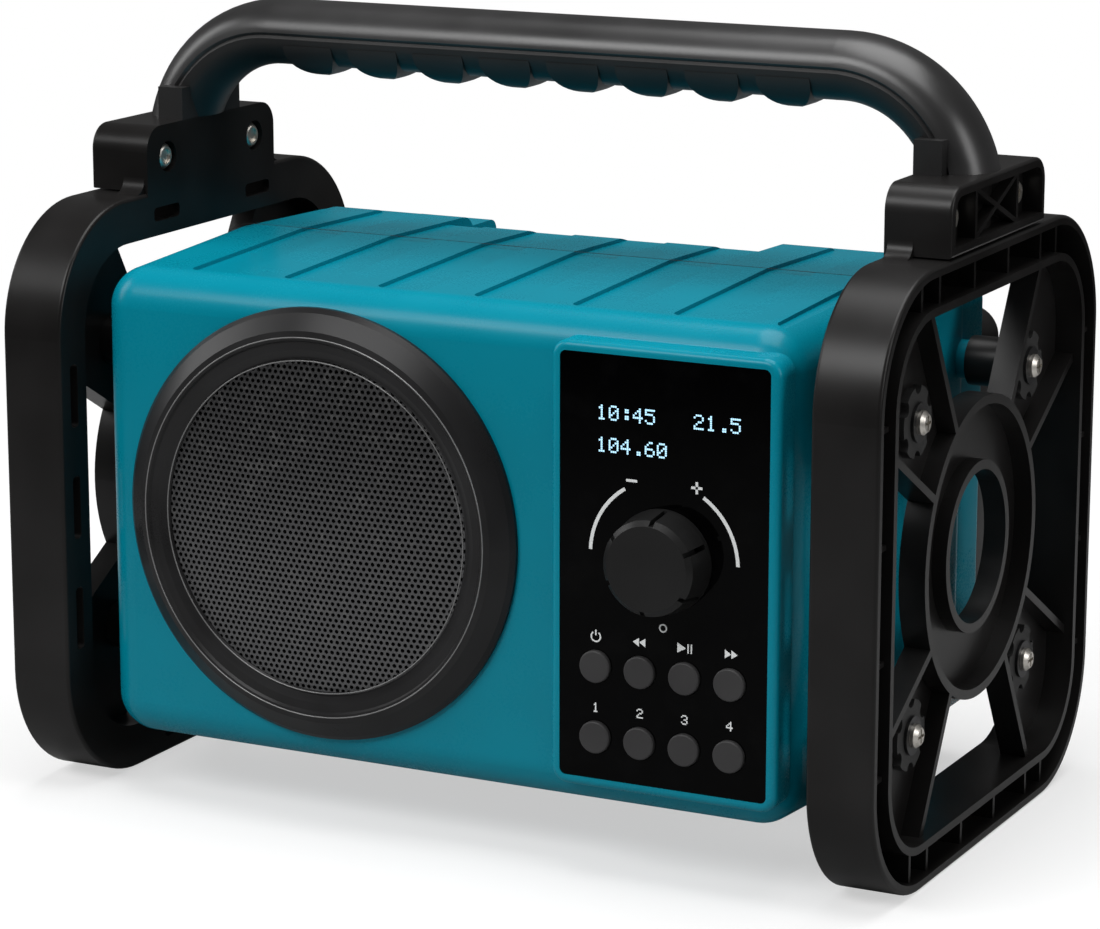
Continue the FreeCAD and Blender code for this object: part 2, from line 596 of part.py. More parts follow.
def clamp():
    """The bolted outer half of the right-hand clamp, with its open ribbed face."""
    base = FRAME_HEIGHT + CLAMP_BASE_GAP
    half = BLOCK_HALF_Y
    outline = slab("X", CLAMP_SEAM_X, FRAME_OUT_X, -half, half, base - 2.0 * BLOCK_CORNER_R, BLOCK_TOP_Z,
                   BLOCK_CORNER_R)
    body = outline.common(slab("X", CLAMP_SEAM_X, FRAME_OUT_X, -half, half, base, BLOCK_TOP_Z))
    body = body.makeFillet(1.0, [edge for edge in body.Edges
                                 if near(edge.BoundBox.XLength, 0.0) and near(edge.BoundBox.XMax,
                                                                              FRAME_OUT_X)])
    floor_x = FRAME_OUT_X - CLAMP_POCKET_DEPTH
    lip = CLAMP_LIP
    mould = slab("X", floor_x, FRAME_OUT_X + 1, -half + lip, half - lip, base - 2.0 * BLOCK_CORNER_R,
                 BLOCK_TOP_Z - lip, BLOCK_CORNER_R - lip)
    pocket = mould.common(slab("X", floor_x, FRAME_OUT_X + 1, -half, half, base + lip, BLOCK_TOP_Z))
    face_x = FRAME_OUT_X - CLAMP_RIB_RECESS
    ribs = []
    for y in (-CLAMP_RIB_Y, CLAMP_RIB_Y):
        ribs.append(slab("X", floor_x, face_x, y - CLAMP_RIB_THICK / 2.0, y + CLAMP_RIB_THICK / 2.0,
                         base + lip / 2.0, BLOCK_TOP_Z - lip / 2.0))
    low = base + lip
    high = BLOCK_TOP_Z - lip
    run = 2.0 * CLAMP_RIB_Y
    tilt = math.degrees(math.atan2(high - low, run))
    reach = math.hypot(high - low, run) / 2.0
    for sign in (-1, 1):
        bar = slab("X", floor_x + 2.0, face_x, -reach, reach, -CLAMP_BRACE_THICK / 2.0,
                   CLAMP_BRACE_THICK / 2.0)
        bar.rotate(Vector(0, 0, 0), Vector(1, 0, 0), sign * tilt)
        bar.translate(Vector(0, 0, (low + high) / 2.0))
        ribs.append(bar)
    clamped = body.cut(pocket)
    wall = tenon(TENON_WALL).common(slab("X", CLAMP_SEAM_X, FRAME_OUT_X - 2.0, -half, half, base,
                                         BLOCK_TOP_Z - 0.1))
    clamped = fuse([clamped, wall] + [rib.common(body) for rib in ribs])
    cuts = [tenon(FIXING_CLEARANCE / 2.0)]
    for y in (-BOLT_Y, BOLT_Y):
        cuts.append(rod("X", CLAMP_SEAM_X - 1, FRAME_OUT_X, y, BOLT_Z, BOLT_SHANK_R + 0.7))
    return clamped.cut(cuts)


def clamp_bolts():
    """Two bolts through the clamp, with a pan head outside."""
    seat = FRAME_OUT_X - CLAMP_POCKET_DEPTH
    bolts = []
    for y in (-BOLT_Y, BOLT_Y):
        head = turned(((0, seat), (BOLT_HEAD_R, seat), (BOLT_HEAD_R, seat + 1.2),
                       (3.0, seat + BOLT_HEAD_HEIGHT),
                       (0, seat + BOLT_HEAD_HEIGHT)), (y, BOLT_Z), "X")
        shank = rod("X", FRAME_IN_X + 1.4, seat + 0.5, y, BOLT_Z, BOLT_SHANK_R)
        socket = prism("X", seat + 0.8, seat + 4.0, [
            (y + 1.6 * math.cos(math.radians(60 * k)), BOLT_Z + 1.6 * math.sin(math.radians(60 * k)))
            for k in range(6)])
        bolts.append(head.fuse(shank).cut(socket))
    return bolts


def clamp_nuts():
    """Round flanged nuts on the inner face of the clamp."""
    floor = FRAME_IN_X + BOLT_SEAT_DEPTH
    nuts = []
    for y in (-BOLT_Y, BOLT_Y):
        nuts.append(turned(((BOLT_SHANK_R, floor), (BOLT_SHANK_R, floor - 2.6), (3.2, floor - 2.6),
                            (BOLT_HEAD_R, floor - 1.4), (BOLT_HEAD_R, floor)), (y, BOLT_Z), "X"))
    return nuts


# Handle: two long mouldings that meet on the handle's middle surface

def handle_half_face(outer):
    """The D-shaped cross-section at mid-span, in the plane X = 0."""
    sign = 1.0 if outer else -1.0
    start = math.radians(5.0)
    points = []
    for angle in (start, math.pi / 2.0, math.pi - start):
        points.append(Vector(0, HANDLE_HALF_WIDTH * math.cos(angle),
                             HANDLE_AXIS_Z + sign * HANDLE_HALF_THICK * math.sin(angle)))
    ellipse = Part.Ellipse(Vector(0, HANDLE_HALF_WIDTH, HANDLE_AXIS_Z),
                           Vector(0, 0, HANDLE_AXIS_Z + HANDLE_HALF_THICK), Vector(0, 0, HANDLE_AXIS_Z))
    first = ellipse.parameter(points[0])
    last = ellipse.parameter(points[2])
    arc = Part.ArcOfEllipse(ellipse, min(first, last), max(first, last)).toShape()
    ends = [vertex.Point for vertex in arc.Vertexes]
    inner = HANDLE_HALF_WIDTH - HANDLE_SEAM_CUT
    feet = [Vector(0, math.copysign(inner, point.y), HANDLE_AXIS_Z) for point in ends]
    lines = [Part.LineSegment(ends[0], feet[0]).toShape(), Part.LineSegment(feet[0], feet[1]).toShape(),
             Part.LineSegment(feet[1], ends[1]).toShape()]
    return Part.Face(Part.Wire(Part.__sortEdges__([arc] + lines)))


def handle_half(outer):
    """One half of the handle, from leg to leg, without its ends."""
    straight = LEG_X - HANDLE_BEND_R
    face = handle_half_face(outer)
    face.translate(Vector(-straight, 0, 0))
    span = face.extrude(Vector(2.0 * straight, 0, 0))
    centre = Vector(-straight, 0, HANDLE_AXIS_Z - HANDLE_BEND_R)
    bend = face.revolve(centre, Vector(0, -1, 0), 90.0)
    whole = fuse([span, bend, mirrored(bend)])
    above = slab("Z", BLOCK_TOP_Z, HANDLE_AXIS_Z + 40.0, -FRAME_OUT_X - 20, FRAME_OUT_X + 20, -40, 40)
    return whole.common(above)


def handle_upper():
    """The outer half, with the outer halves of both tenons."""
    inside = slab("Z", 0, HANDLE_AXIS_Z, CLAMP_SEAM_X, FRAME_OUT_X, -FRAME_HALF_DEPTH, FRAME_HALF_DEPTH)
    peg = tenon().common(inside)
    half = handle_half(True)
    neck = slab("Z", BLOCK_TOP_Z, BLOCK_TOP_Z + 3.0, CLAMP_SEAM_X, CLAMP_SEAM_X + TENON_HALF_X,
                -TENON_HALF_Y + 3.0, TENON_HALF_Y - 3.0)
    return fuse([half, peg, neck, mirrored(peg), mirrored(neck)])


def handle_lower():
    """The grip half, with finger grips and a flat flange over each clamp."""
    half = handle_half(False)
    additions = []
    bump_r = (GRIP_WIDTH ** 2 / 4.0 + GRIP_HEIGHT ** 2) / (2.0 * GRIP_HEIGHT)
    underside = HANDLE_AXIS_Z - HANDLE_HALF_THICK
    ellipse = Part.Ellipse(Vector(0, 0, 0), HANDLE_HALF_WIDTH, HANDLE_HALF_THICK + GRIP_HEIGHT)
    envelope = Part.Face(Part.Wire(ellipse.toShape()))
    envelope.rotate(Vector(0, 0, 0), Vector(1, 0, 0), 90)
    envelope.rotate(Vector(0, 0, 0), Vector(0, 0, 1), 90)
    reach = GRIP_COUNT * GRIP_PITCH / 2.0
    envelope.translate(Vector(-reach, 0, HANDLE_AXIS_Z))
    envelope = envelope.extrude(Vector(2.0 * reach, 0, 0))
    below = slab("Z", 0, HANDLE_AXIS_Z - 3.0, -reach, reach, -30, 30)
    for index in range(GRIP_COUNT):
        x = (index - (GRIP_COUNT - 1) / 2.0) * GRIP_PITCH
        bump = rod("Y", -HANDLE_HALF_WIDTH, HANDLE_HALF_WIDTH, x, underside - GRIP_HEIGHT + bump_r, bump_r)
        additions.append(bump.common(envelope).common(below))
    flange = slab("X", FRAME_IN_X, CLAMP_SEAM_X, -FLANGE_HALF_Y, FLANGE_HALF_Y, BLOCK_TOP_Z,
                  BLOCK_TOP_Z + FLANGE_HEIGHT)
    leg_zone = handle_half(True)
    flange = flange.cut(leg_zone)
    inside = slab("Z", 0, BLOCK_TOP_Z, FRAME_IN_X, CLAMP_SEAM_X, -FRAME_HALF_DEPTH, FRAME_HALF_DEPTH)
    peg = tenon().common(inside)
    body = fuse([half, flange, peg, mirrored(flange), mirrored(peg)] + additions)
    return body.cut(leg_zone)


# Body shells

def body_rect(y, inset=0.0):
    """Half-width, bottom and top of the drafted body at a depth, drawn in by a wall."""
    draft = FRONT_DRAFT_DEG if y < SEAM_Y else REAR_DRAFT_DEG
    shrink = abs(y - SEAM_Y) * math.tan(math.radians(draft)) + inset
    return (BODY_HALF_WIDTH - shrink, BODY_BOTTOM_Z + shrink, BODY_TOP_Z - shrink)


def body_block(y0, y1, inset=0.0):
    """A drafted block between two depths on the same side of the seam."""
    rings = []
    for y in (y0, y1):
        half, low, high = body_rect(y, inset)
        rings.append([Vector(-half, y, low), Vector(half, y, low), Vector(half, y, high),
                      Vector(-half, y, high)])
    faces = [Part.Face(Part.makePolygon(ring + ring[:1])) for ring in rings]
    for k in range(4):
        n = (k + 1) % 4
        corners = [rings[0][k], rings[0][n], rings[1][n], rings[1][k]]
        faces.append(Part.Face(Part.makePolygon(corners + corners[:1])))
    solid = Part.Solid(Part.Shell(faces))
    return solid if solid.Volume > 0 else solid.reversed()


def drafted_shell(closed_y, edge_r, end_r, inset):
    """A drafted block from the seam to its closed end, with rounded corners and end."""
    block = body_block(min(closed_y, SEAM_Y), max(closed_y, SEAM_Y), inset)
    long_edges = [edge for edge in block.Edges if edge.BoundBox.YLength > 1.0]
    block = block.makeFillet(edge_r, long_edges)
    end_edges = [edge for edge in block.Edges
                 if near(edge.BoundBox.YMin, closed_y) and near(edge.BoundBox.YMax, closed_y)]
    return block.makeFillet(end_r, end_edges)


def top_recesses(front):
    """Shallow channels between the raised strips on the body's top."""
    draft = FRONT_DRAFT_DEG if front else -REAR_DRAFT_DEG
    lo, hi = (RECESS_FRONT_Y, SEAM_Y + 10.0) if front else (SEAM_Y - 10.0, BODY_REAR_Y + 10.0)
    half = (STRIP_PITCH - STRIP_WIDTH) / 2.0
    cuts = []
    for k in range(-4, 4):
        x = (k + 0.5) * STRIP_PITCH
        channel = slab("Z", BODY_TOP_Z - RECESS_DEPTH, BODY_TOP_Z + 12.0, x - half, x + half, lo, hi, 3.0)
        channel.rotate(Vector(0, SEAM_Y, BODY_TOP_Z), Vector(1, 0, 0), draft)
        cuts.append(channel)
    return cuts


def scoop(depth_in=0.0):
    """The finger scoop behind the middle of the top, or the same drawn in by a wall."""
    top = BODY_TOP_Z + 10.0
    block = slab("X", -SCOOP_HALF_X - depth_in, SCOOP_HALF_X + depth_in, SCOOP_START_Y, BODY_REAR_Y + 20.0,
                 BODY_TOP_Z - SCOOP_R, top)
    keep_round = rod("X", -SCOOP_HALF_X - depth_in - 1, SCOOP_HALF_X + depth_in + 1, SCOOP_START_Y,
                     BODY_TOP_Z - SCOOP_R, SCOOP_R - depth_in)
    return block.cut(keep_round)


def seam_ring():
    """The square gasket that lies in a groove on the seam."""
    half, low, high = body_rect(SEAM_Y)
    a = GASKET_INSET
    b = GASKET_INSET + GASKET_WIDTH
    lo = SEAM_Y - GASKET_HALF_HEIGHT
    hi = SEAM_Y + GASKET_HALF_HEIGHT
    outer = slab("Y", lo, hi, -half + a, half - a, low + a, high - RECESS_DEPTH - a, BODY_EDGE_R - a)
    inner = slab("Y", lo, hi, -half + b, half - b, low + b, high - RECESS_DEPTH - b, BODY_EDGE_R - b)
    return outer.cut(inner)


def shell_posts():
    """Positions of the four posts that hold the shells together, as (x, z)."""
    return [(x, z) for x in (-SHELL_POST_X, SHELL_POST_X) for z in (SHELL_POST_LOW_Z, SHELL_POST_HIGH_Z)]


def body_bosses(front):
    """Side bosses that the frames are screwed to, as solids and their screw holes."""
    y = -FIXING_Y if front else FIXING_Y
    solids = []
    holes = []
    for z in FIXING_Z:
        for side in (-1, 1):
            lo, hi = sorted((side * FIXING_SEAT_X, side * (FIXING_SEAT_X - BODY_BOSS_DEPTH)))
            solids.append(rod("X", lo, hi, y, z, BODY_BOSS_R))
            holes.append(rod("X", lo + (1.0 if side > 0 else -1.0), hi + (1.0 if side > 0 else -1.0), y, z,
                             FIXING_SHANK_R))
    return solids, holes


def panel_rim():
    """The raised teal border of the control panel."""
    out = PANEL_RIM
    rim = slab("Y", PANEL_FRONT_Y - 0.3, INNER_FRONT_Y, PANEL_X0 - out, PANEL_X1 + out, PANEL_Z0 - out,
               PANEL_Z1 + out, PANEL_RIM_R)
    edges = [edge for edge in rim.Edges if near(edge.BoundBox.YMax, PANEL_FRONT_Y - 0.3)]
    return rim.makeFillet(PANEL_RIM_EDGE_R, edges)


def front_shell():
    """The teal front half: speaker baffle, panel border, top strips and posts."""
    outer = drafted_shell(BODY_FRONT_Y, BODY_EDGE_R, BODY_FRONT_R, 0.0)
    outer = outer.cut(top_recesses(True))
    outer = outer.fuse(panel_rim())
    inner_r = BODY_EDGE_R - SHELL_WALL
    inner = drafted_shell(INNER_FRONT_Y, inner_r, BODY_FRONT_INNER_R, SHELL_WALL)
    shell = outer.cut(inner)
    bosses, holes = body_bosses(True)
    posts = [rod("Y", INNER_FRONT_Y - 1.0, SEAM_Y, x, z, SHELL_POST_R) for x, z in shell_posts()]
    whole = drafted_shell(BODY_FRONT_Y, BODY_EDGE_R, BODY_FRONT_R, 1.0)
    shell = fuse([shell] + [post.common(whole) for post in posts] + bosses)
    cuts = [
        slab("Y", PANEL_FRONT_Y - 2.0, PANEL_BACK_Y, PANEL_X0, PANEL_X1, PANEL_Z0, PANEL_Z1,
             PANEL_CORNER_R),
        slab("Y", PANEL_BACK_Y - 1.0, INNER_FRONT_Y + 1.0, PANEL_X0 + PANEL_LEDGE, PANEL_X1 - PANEL_LEDGE,
             PANEL_Z0 + PANEL_LEDGE, PANEL_Z1 - PANEL_LEDGE, PANEL_CORNER_R),
        rod("Y", BODY_FRONT_Y - 1.0, INNER_FRONT_Y + 1.0, SPEAKER_X, SPEAKER_Z, SPEAKER_HOLE_R),
        seam_ring(),
    ] + holes
    for x, z in shell_posts():
        cuts.append(rod("Y", SEAM_Y - SHELL_SCREW_GRIP - 2.0, SEAM_Y + 1.0, x, z, SHELL_SCREW_R))
    for x, z in speaker_screw_places():
        cuts.append(rod("Y", BODY_FRONT_Y - 1.0, INNER_FRONT_Y + 1.0, x, z, SPEAKER_PEG_R + 0.1))
    return shell.cut(cuts)


def back_step(inset):
    """The deeper part of the rear shell below the top, drawn in by a wall."""
    half, low, high = body_rect(BODY_BACK_Y, inset)
    start = BODY_REAR_Y - BODY_REAR_R - SHELL_WALL + inset
    step = slab("Y", start, BODY_BACK_Y - inset, -half, half, low, BODY_TOP_Z - BODY_STEP_DROP - inset,
                BODY_EDGE_R - inset)
    edges = [edge for edge in step.Edges if near(edge.BoundBox.YMin, BODY_BACK_Y - inset)]
    step = step.makeFillet(BODY_STEP_EDGE_R - inset, edges)
    ledge = BODY_TOP_Z - SCOOP_LEDGE_DROP - inset
    return step.cut(slab("Y", start - 1.0, BODY_BACK_Y + 1.0, -SCOOP_HALF_X - inset, SCOOP_HALF_X + inset,
                         ledge, BODY_TOP_Z))


def rear_shell():
    """The teal rear half, with the scoop in its top and an open back."""
    outer = drafted_shell(BODY_REAR_Y, BODY_EDGE_R, BODY_REAR_R, 0.0)
    outer = outer.cut(top_recesses(False) + [scoop()]).fuse(back_step(0.0))
    inner = drafted_shell(BODY_REAR_Y - SHELL_WALL, BODY_EDGE_R - SHELL_WALL, BODY_REAR_R - SHELL_WALL,
                          SHELL_WALL).cut(scoop(SHELL_WALL)).fuse(back_step(SHELL_WALL))
    shell = outer.cut(inner)
    whole = drafted_shell(BODY_REAR_Y, BODY_EDGE_R, BODY_REAR_R, 1.0).fuse(back_step(1.0))
    posts = [rod("Y", SEAM_Y, BODY_BACK_Y - 1.0, x, z, SHELL_POST_R) for x, z in shell_posts()]
    posts += [rod("Y", BODY_BACK_Y - 14.0, BODY_BACK_Y, x, z, 4.0) for x, z in cover_screw_places()]
    bosses, holes = body_bosses(False)
    shell = fuse([shell] + [post.common(whole) for post in posts] + bosses)
    land = COVER_LAND
    cuts = [
        slab("Y", BODY_BACK_Y - SHELL_WALL - 1.0, BODY_BACK_Y + 1.0, -COVER_HALF_X + land * 2.5,
             COVER_HALF_X - land * 2.5, COVER_Z0 + land, COVER_Z1 - land, COVER_CORNER_R - 4.0),
        seam_ring(),
    ] + holes
    for x, z in shell_posts():
        cuts.append(rod("Y", SEAM_Y - 1.0, BODY_BACK_Y + 1.0, x, z, SHELL_SCREW_R + 0.3))
        cuts.append(rod("Y", shell_screw_seat(), BODY_BACK_Y + 1.0, x, z, SHELL_SCREW_HEAD_R + 0.4))
    for x, z in cover_screw_places():
        cuts.append(rod("Y", BODY_BACK_Y - 12.0, BODY_BACK_Y + 1.0, x, z, SHELL_SCREW_R))
    return shell.cut(cuts)


def shell_screw_seat():
    """Where the shell screws' heads seat, at the bottom of deep holes from the rear."""
    return SEAM_Y + 22.0


def pan_screw(seat, tip, x, z, shank_r, head_r, head):
    """A cross-slotted screw along Y, with its head to the rear."""
    body = turned(((0, tip), (shank_r, tip + 1.0), (shank_r, seat), (head_r, seat),
                   (head_r, seat + head * 0.5),
                   (head_r * 0.6, seat + head), (0, seat + head)), (x, z), "Y")
    slot = head_r * 0.55
    cross = [slab("Y", seat + head * 0.45, seat + head + 1.0, x - slot, x + slot, z - 0.35, z + 0.35),
             slab("Y", seat + head * 0.45, seat + head + 1.0, x - 0.35, x + 0.35, z - slot, z + slot)]
    return body.cut(cross)


def shell_screws():
    """Long screws that draw the two shells together."""
    return [pan_screw(shell_screw_seat(), SEAM_Y - SHELL_SCREW_GRIP, x, z, SHELL_SCREW_R,
                      SHELL_SCREW_HEAD_R, SHELL_SCREW_HEAD) for x, z in shell_posts()]


# Frame fixings

def frame_screws():
    """Four pan-head screws through the right-hand frame."""
    seat = WEB_OUT_X + GROMMET_THICK + WASHER_THICK
    screws = []
    for y, z in fixing_places():
        tip = FIXING_SEAT_X - BODY_BOSS_DEPTH + 3.0
        top = seat + FIXING_HEAD_HEIGHT
        body = turned(((0, tip), (FIXING_SHANK_R, tip + 1.0), (FIXING_SHANK_R, seat), (FIXING_HEAD_R, seat),
                       (FIXING_HEAD_R, seat + 1.1), (2.6, top), (0, top)), (y, z), "X")
        slot = 2.3
        cross = [slab("X", seat + 1.2, seat + 4.0, y - slot, y + slot, z - 0.45, z + 0.45),
                 slab("X", seat + 1.2, seat + 4.0, y - 0.45, y + 0.45, z - slot, z + slot)]
        screws.append(body.cut(cross))
    return screws


def frame_washers():
    """Flat washers under the frame screws."""
    lo = WEB_OUT_X + GROMMET_THICK
    return [pipe("X", lo, lo + WASHER_THICK, y, z, WASHER_R, FIXING_SHANK_R + FIXING_CLEARANCE)
            for y, z in fixing_places()]


def frame_grommets():
    """Notched rubber mounts between the frame and the screws."""
    grommets = []
    for y, z in fixing_places():
        disc = rod("X", WEB_OUT_X, WEB_OUT_X + GROMMET_THICK, y, z, GROMMET_R)
        neck = rod("X", WEB_OUT_X - GROMMET_NECK_LENGTH, WEB_OUT_X, y, z, GROMMET_NECK_R)
        cuts = [rod("X", WEB_IN_X - 10.0, FRAME_OUT_X, y, z, FIXING_SHANK_R + FIXING_CLEARANCE)]
        for k in range(GROMMET_NOTCHES):
            angle = math.radians(360.0 / GROMMET_NOTCHES * (k + 0.5))
            notch_y, notch_z = y + GROMMET_R * math.cos(angle), z + GROMMET_R * math.sin(angle)
            cuts.append(rod("X", WEB_OUT_X - 1.0, WEB_OUT_X + GROMMET_THICK + 1.0, notch_y, notch_z,
                            GROMMET_NOTCH_R))
        grommets.append(disc.fuse(neck).cut(cuts))
    return grommets


# Control panel

def panel_window():
    """The glossy black panel with holes for the knob's bushing and the buttons."""
    plate = slab("Y", PANEL_FRONT_Y, PANEL_BACK_Y, PANEL_X0, PANEL_X1, PANEL_Z0, PANEL_Z1, PANEL_CORNER_R)
    cuts = [rod("Y", PANEL_FRONT_Y - 1, PANEL_BACK_Y + 1, KNOB_X, KNOB_Z, BUSHING_R)]
    for x, z in button_places():
        cuts.append(rod("Y", PANEL_FRONT_Y - 1, PANEL_BACK_Y + 1, x, z, BUTTON_R + BUTTON_GAP))
    return plate.cut(cuts)


def button_places():
    """The eight button centres, row by row from the left, as (x, z)."""
    first = BUTTON_MID_X - BUTTON_PITCH_X * (BUTTON_COLUMNS - 1) / 2.0
    return [(first + k * BUTTON_PITCH_X, z) for z in BUTTON_ROWS_Z for k in range(BUTTON_COLUMNS)]


def button(x, z):
    """A round push button: cap, retaining flange and stem."""
    back = PANEL_BACK_Y + BUTTON_STOP_GAP
    cap = rod("Y", BUTTON_FRONT_Y, back, x, z, BUTTON_R)
    cap = cap.makeFillet(BUTTON_EDGE_R,
                         [edge for edge in cap.Edges if near(edge.BoundBox.YMax, BUTTON_FRONT_Y)])
    flange = rod("Y", back, back + BUTTON_FLANGE, x, z, BUTTON_FLANGE_R)
    stem = rod("Y", back + BUTTON_FLANGE, STEM_END_Y, x, z, BUTTON_STEM_R)
    return fuse([cap, flange, stem])


def mat_front_y():
    """The front of the soft mat, just clear of a fully pressed button's flange."""
    return PANEL_BACK_Y + BUTTON_STOP_GAP + BUTTON_FLANGE + BUTTON_TRAVEL + BUTTON_STOP_GAP


def keypad_mat():
    """The soft mat that guides the button stems, on legs that stand on the board."""
    front = mat_front_y()
    half = BUTTON_PITCH_X * BUTTON_COLUMNS / 2.0
    low = min(BUTTON_ROWS_Z) - BUTTON_FLANGE_R - 1.0
    high = max(BUTTON_ROWS_Z) + BUTTON_FLANGE_R + 1.0
    mat = slab("Y", front, front + MAT_THICK, BUTTON_MID_X - half, BUTTON_MID_X + half, low, high, 2.0)
    legs = [slab("Y", front, BOARD_Y, BUTTON_MID_X + side * half - 1.0 - side,
                 BUTTON_MID_X + side * half + 1.0 - side,
                 low + 3.0, high - 3.0) for side in (-1, 1)]
    holes = [rod("Y", front - 1, front + MAT_THICK + 1, x, z, BUTTON_STEM_R + 0.3) for x,
             z in button_places()]
    return fuse([mat] + legs).cut(holes)


def board_outline(y0, y1):
    """The control board's outline behind the panel opening."""
    edge = PANEL_LEDGE - BOARD_OVERLAP
    return slab("Y", y0, y1, PANEL_X0 + edge, PANEL_X1 - edge, PANEL_Z0 + edge, PANEL_Z1 - edge, 1.5)


def control_board():
    """The board that carries the switches, encoder and display."""
    return board_outline(BOARD_Y, BOARD_Y + BOARD_THICK)


def board_spacer():
    """A flat frame that seats the control board on the back of the front wall."""
    ring = board_outline(INNER_FRONT_Y, BOARD_Y)
    hole = slab("Y", INNER_FRONT_Y - 1, BOARD_Y + 1, PANEL_X0 + PANEL_LEDGE, PANEL_X1 - PANEL_LEDGE,
                PANEL_Z0 + PANEL_LEDGE, PANEL_Z1 - PANEL_LEDGE, PANEL_CORNER_R)
    return ring.cut(hole)


def tact_switches():
    """One small switch behind each button."""
    return [slab("Y", SWITCH_TOP_Y, BOARD_Y, x - SWITCH_HALF, x + SWITCH_HALF, z - SWITCH_HALF,
                 z + SWITCH_HALF)
            for x, z in button_places()]


def display_module():
    """The display glass behind the window, on a carrier that stands on the board."""
    glass = slab("Y", PANEL_BACK_Y, PANEL_BACK_Y + DISPLAY_DEPTH, DISPLAY_X - DISPLAY_HALF_X,
                 DISPLAY_X + DISPLAY_HALF_X, DISPLAY_Z - DISPLAY_HALF_Z, DISPLAY_Z + DISPLAY_HALF_Z, 1.0)
    carrier = slab("Y", PANEL_BACK_Y + DISPLAY_DEPTH, BOARD_Y, DISPLAY_X - DISPLAY_HALF_X + 4.0,
                   DISPLAY_X + DISPLAY_HALF_X - 4.0, DISPLAY_Z - DISPLAY_HALF_Z + 3.0,
                   DISPLAY_Z + DISPLAY_HALF_Z - 3.0)
    return glass.fuse(carrier)


def encoder_body():
    """The rotary encoder's housing and bushing, bored for the shaft."""
    front = BOARD_Y - ENCODER_DEPTH
    housing = slab("Y", front, BOARD_Y, KNOB_X - ENCODER_HALF, KNOB_X + ENCODER_HALF,
                   KNOB_Z - ENCODER_HALF,
                   KNOB_Z + ENCODER_HALF, 1.0)
    bushing = rod("Y", PANEL_FRONT_Y, front, KNOB_X, KNOB_Z, BUSHING_R - 0.2)
    bore = rod("Y", PANEL_FRONT_Y - 1.0, BOARD_Y - 1.5, KNOB_X, KNOB_Z, SHAFT_R + SHAFT_RUN)
    return housing.fuse(bushing).cut(bore)


def encoder_shaft():
    """The shaft that turns with the knob."""
    return rod("Y", KNOB_FACE_Y + 3.0, BOARD_Y - 1.8, KNOB_X, KNOB_Z, SHAFT_R)


def knob():
    """The ribbed control knob, hollow at the back around its hub."""
    face = KNOB_FACE_Y
    back = KNOB_BACK_Y
    shape = turned(((0, face), (KNOB_FACE_R, face), (KNOB_FRONT_R, face + KNOB_BEVEL),
                    (KNOB_BASE_R, back - 1.6),
                    (KNOB_BASE_R, back), (KNOB_BASE_R - 2.4, back), (KNOB_BASE_R - 3.2, face + 3.4),
                    (SHAFT_R + 2.4, face + 3.4), (SHAFT_R + 2.4, back - 0.6), (0, back - 0.6)),
                   (KNOB_X, KNOB_Z), "Y")
    cuts = [rod("Y", face + 3.0, back + 1.0, KNOB_X, KNOB_Z, SHAFT_R)]
    for k in range(KNOB_NOTCHES):
        notch = slab("Y", face - 1.0, back - 1.8, KNOB_X + KNOB_FRONT_R - KNOB_NOTCH_DEPTH,
                     KNOB_X + KNOB_BASE_R + 2.0,
                     KNOB_Z - KNOB_NOTCH_WIDTH / 2.0, KNOB_Z + KNOB_NOTCH_WIDTH / 2.0)
        notch.rotate(Vector(KNOB_X, 0, KNOB_Z), Vector(0, -1, 0),
                     KNOB_FIRST_NOTCH_DEG + 360.0 / KNOB_NOTCHES * k)
        cuts.append(notch)
    return shape.cut(cuts)


def board_standoffs():
    """Four pillars between the control board and the main board."""
    x0, x1, z0, z1 = main_board_rect()
    return [rod("Y", BOARD_Y + BOARD_THICK, main_board_y(), x, z, 2.8)
            for x in (x0 + 5.0, x1 - 5.0) for z in (z0 + 5.0, z1 - 5.0)]


def main_board_rect():
    """The main board's extent, as low x, high x, low z, high z."""
    return (PANEL_X0 + PANEL_LEDGE, PANEL_X1 - PANEL_LEDGE, PANEL_Z0 + PANEL_LEDGE, PANEL_Z1 - PANEL_LEDGE)


def main_board_y():
    """The front face of the main board."""
    return BOARD_Y + BOARD_THICK + BOARD_SPACING


def main_board():
    """The tuner and amplifier board."""
    x0, x1, z0, z1 = main_board_rect()
    return slab("Y", main_board_y(), main_board_y() + BOARD_THICK, x0, x1, z0, z1, 1.5)


def board_parts():
    """The shielded tuner, the amplifier's heat sink and two capacitors on the main board."""
    back = main_board_y() + BOARD_THICK
    x0, x1, z0, z1 = main_board_rect()
    tuner = slab("Y", back, back + 6.0, x0 + 8.0, x0 + 34.0, z1 - 48.0, z1 - 14.0, 1.0)
    sink = slab("Y", back, back + 14.0, x0 + 10.0, x0 + 46.0, z0 + 30.0, z0 + 36.0)
    fins = [slab("Y", back, back + 14.0, x0 + 10.0 + 5.5 * k, x0 + 11.6 + 5.5 * k, z0 + 34.0, z0 + 48.0)
            for k in range(7)]
    caps = [rod("Y", back, back + 16.0, x0 + 18.0 + 18.0 * k, z0 + 15.0, 6.3) for k in range(2)]
    return [tuner, fuse([sink] + fins)] + caps


# Loudspeaker

def speaker_screw_places():
    """The four screw positions around the loudspeaker, as (x, z)."""
    places = []
    for k in range(SPEAKER_SCREWS):
        angle = math.radians(45.0 + 360.0 / SPEAKER_SCREWS * k)
        places.append((SPEAKER_X + SPEAKER_SCREW_PCD_R * math.cos(angle),
                       SPEAKER_Z + SPEAKER_SCREW_PCD_R * math.sin(angle)))
    return places


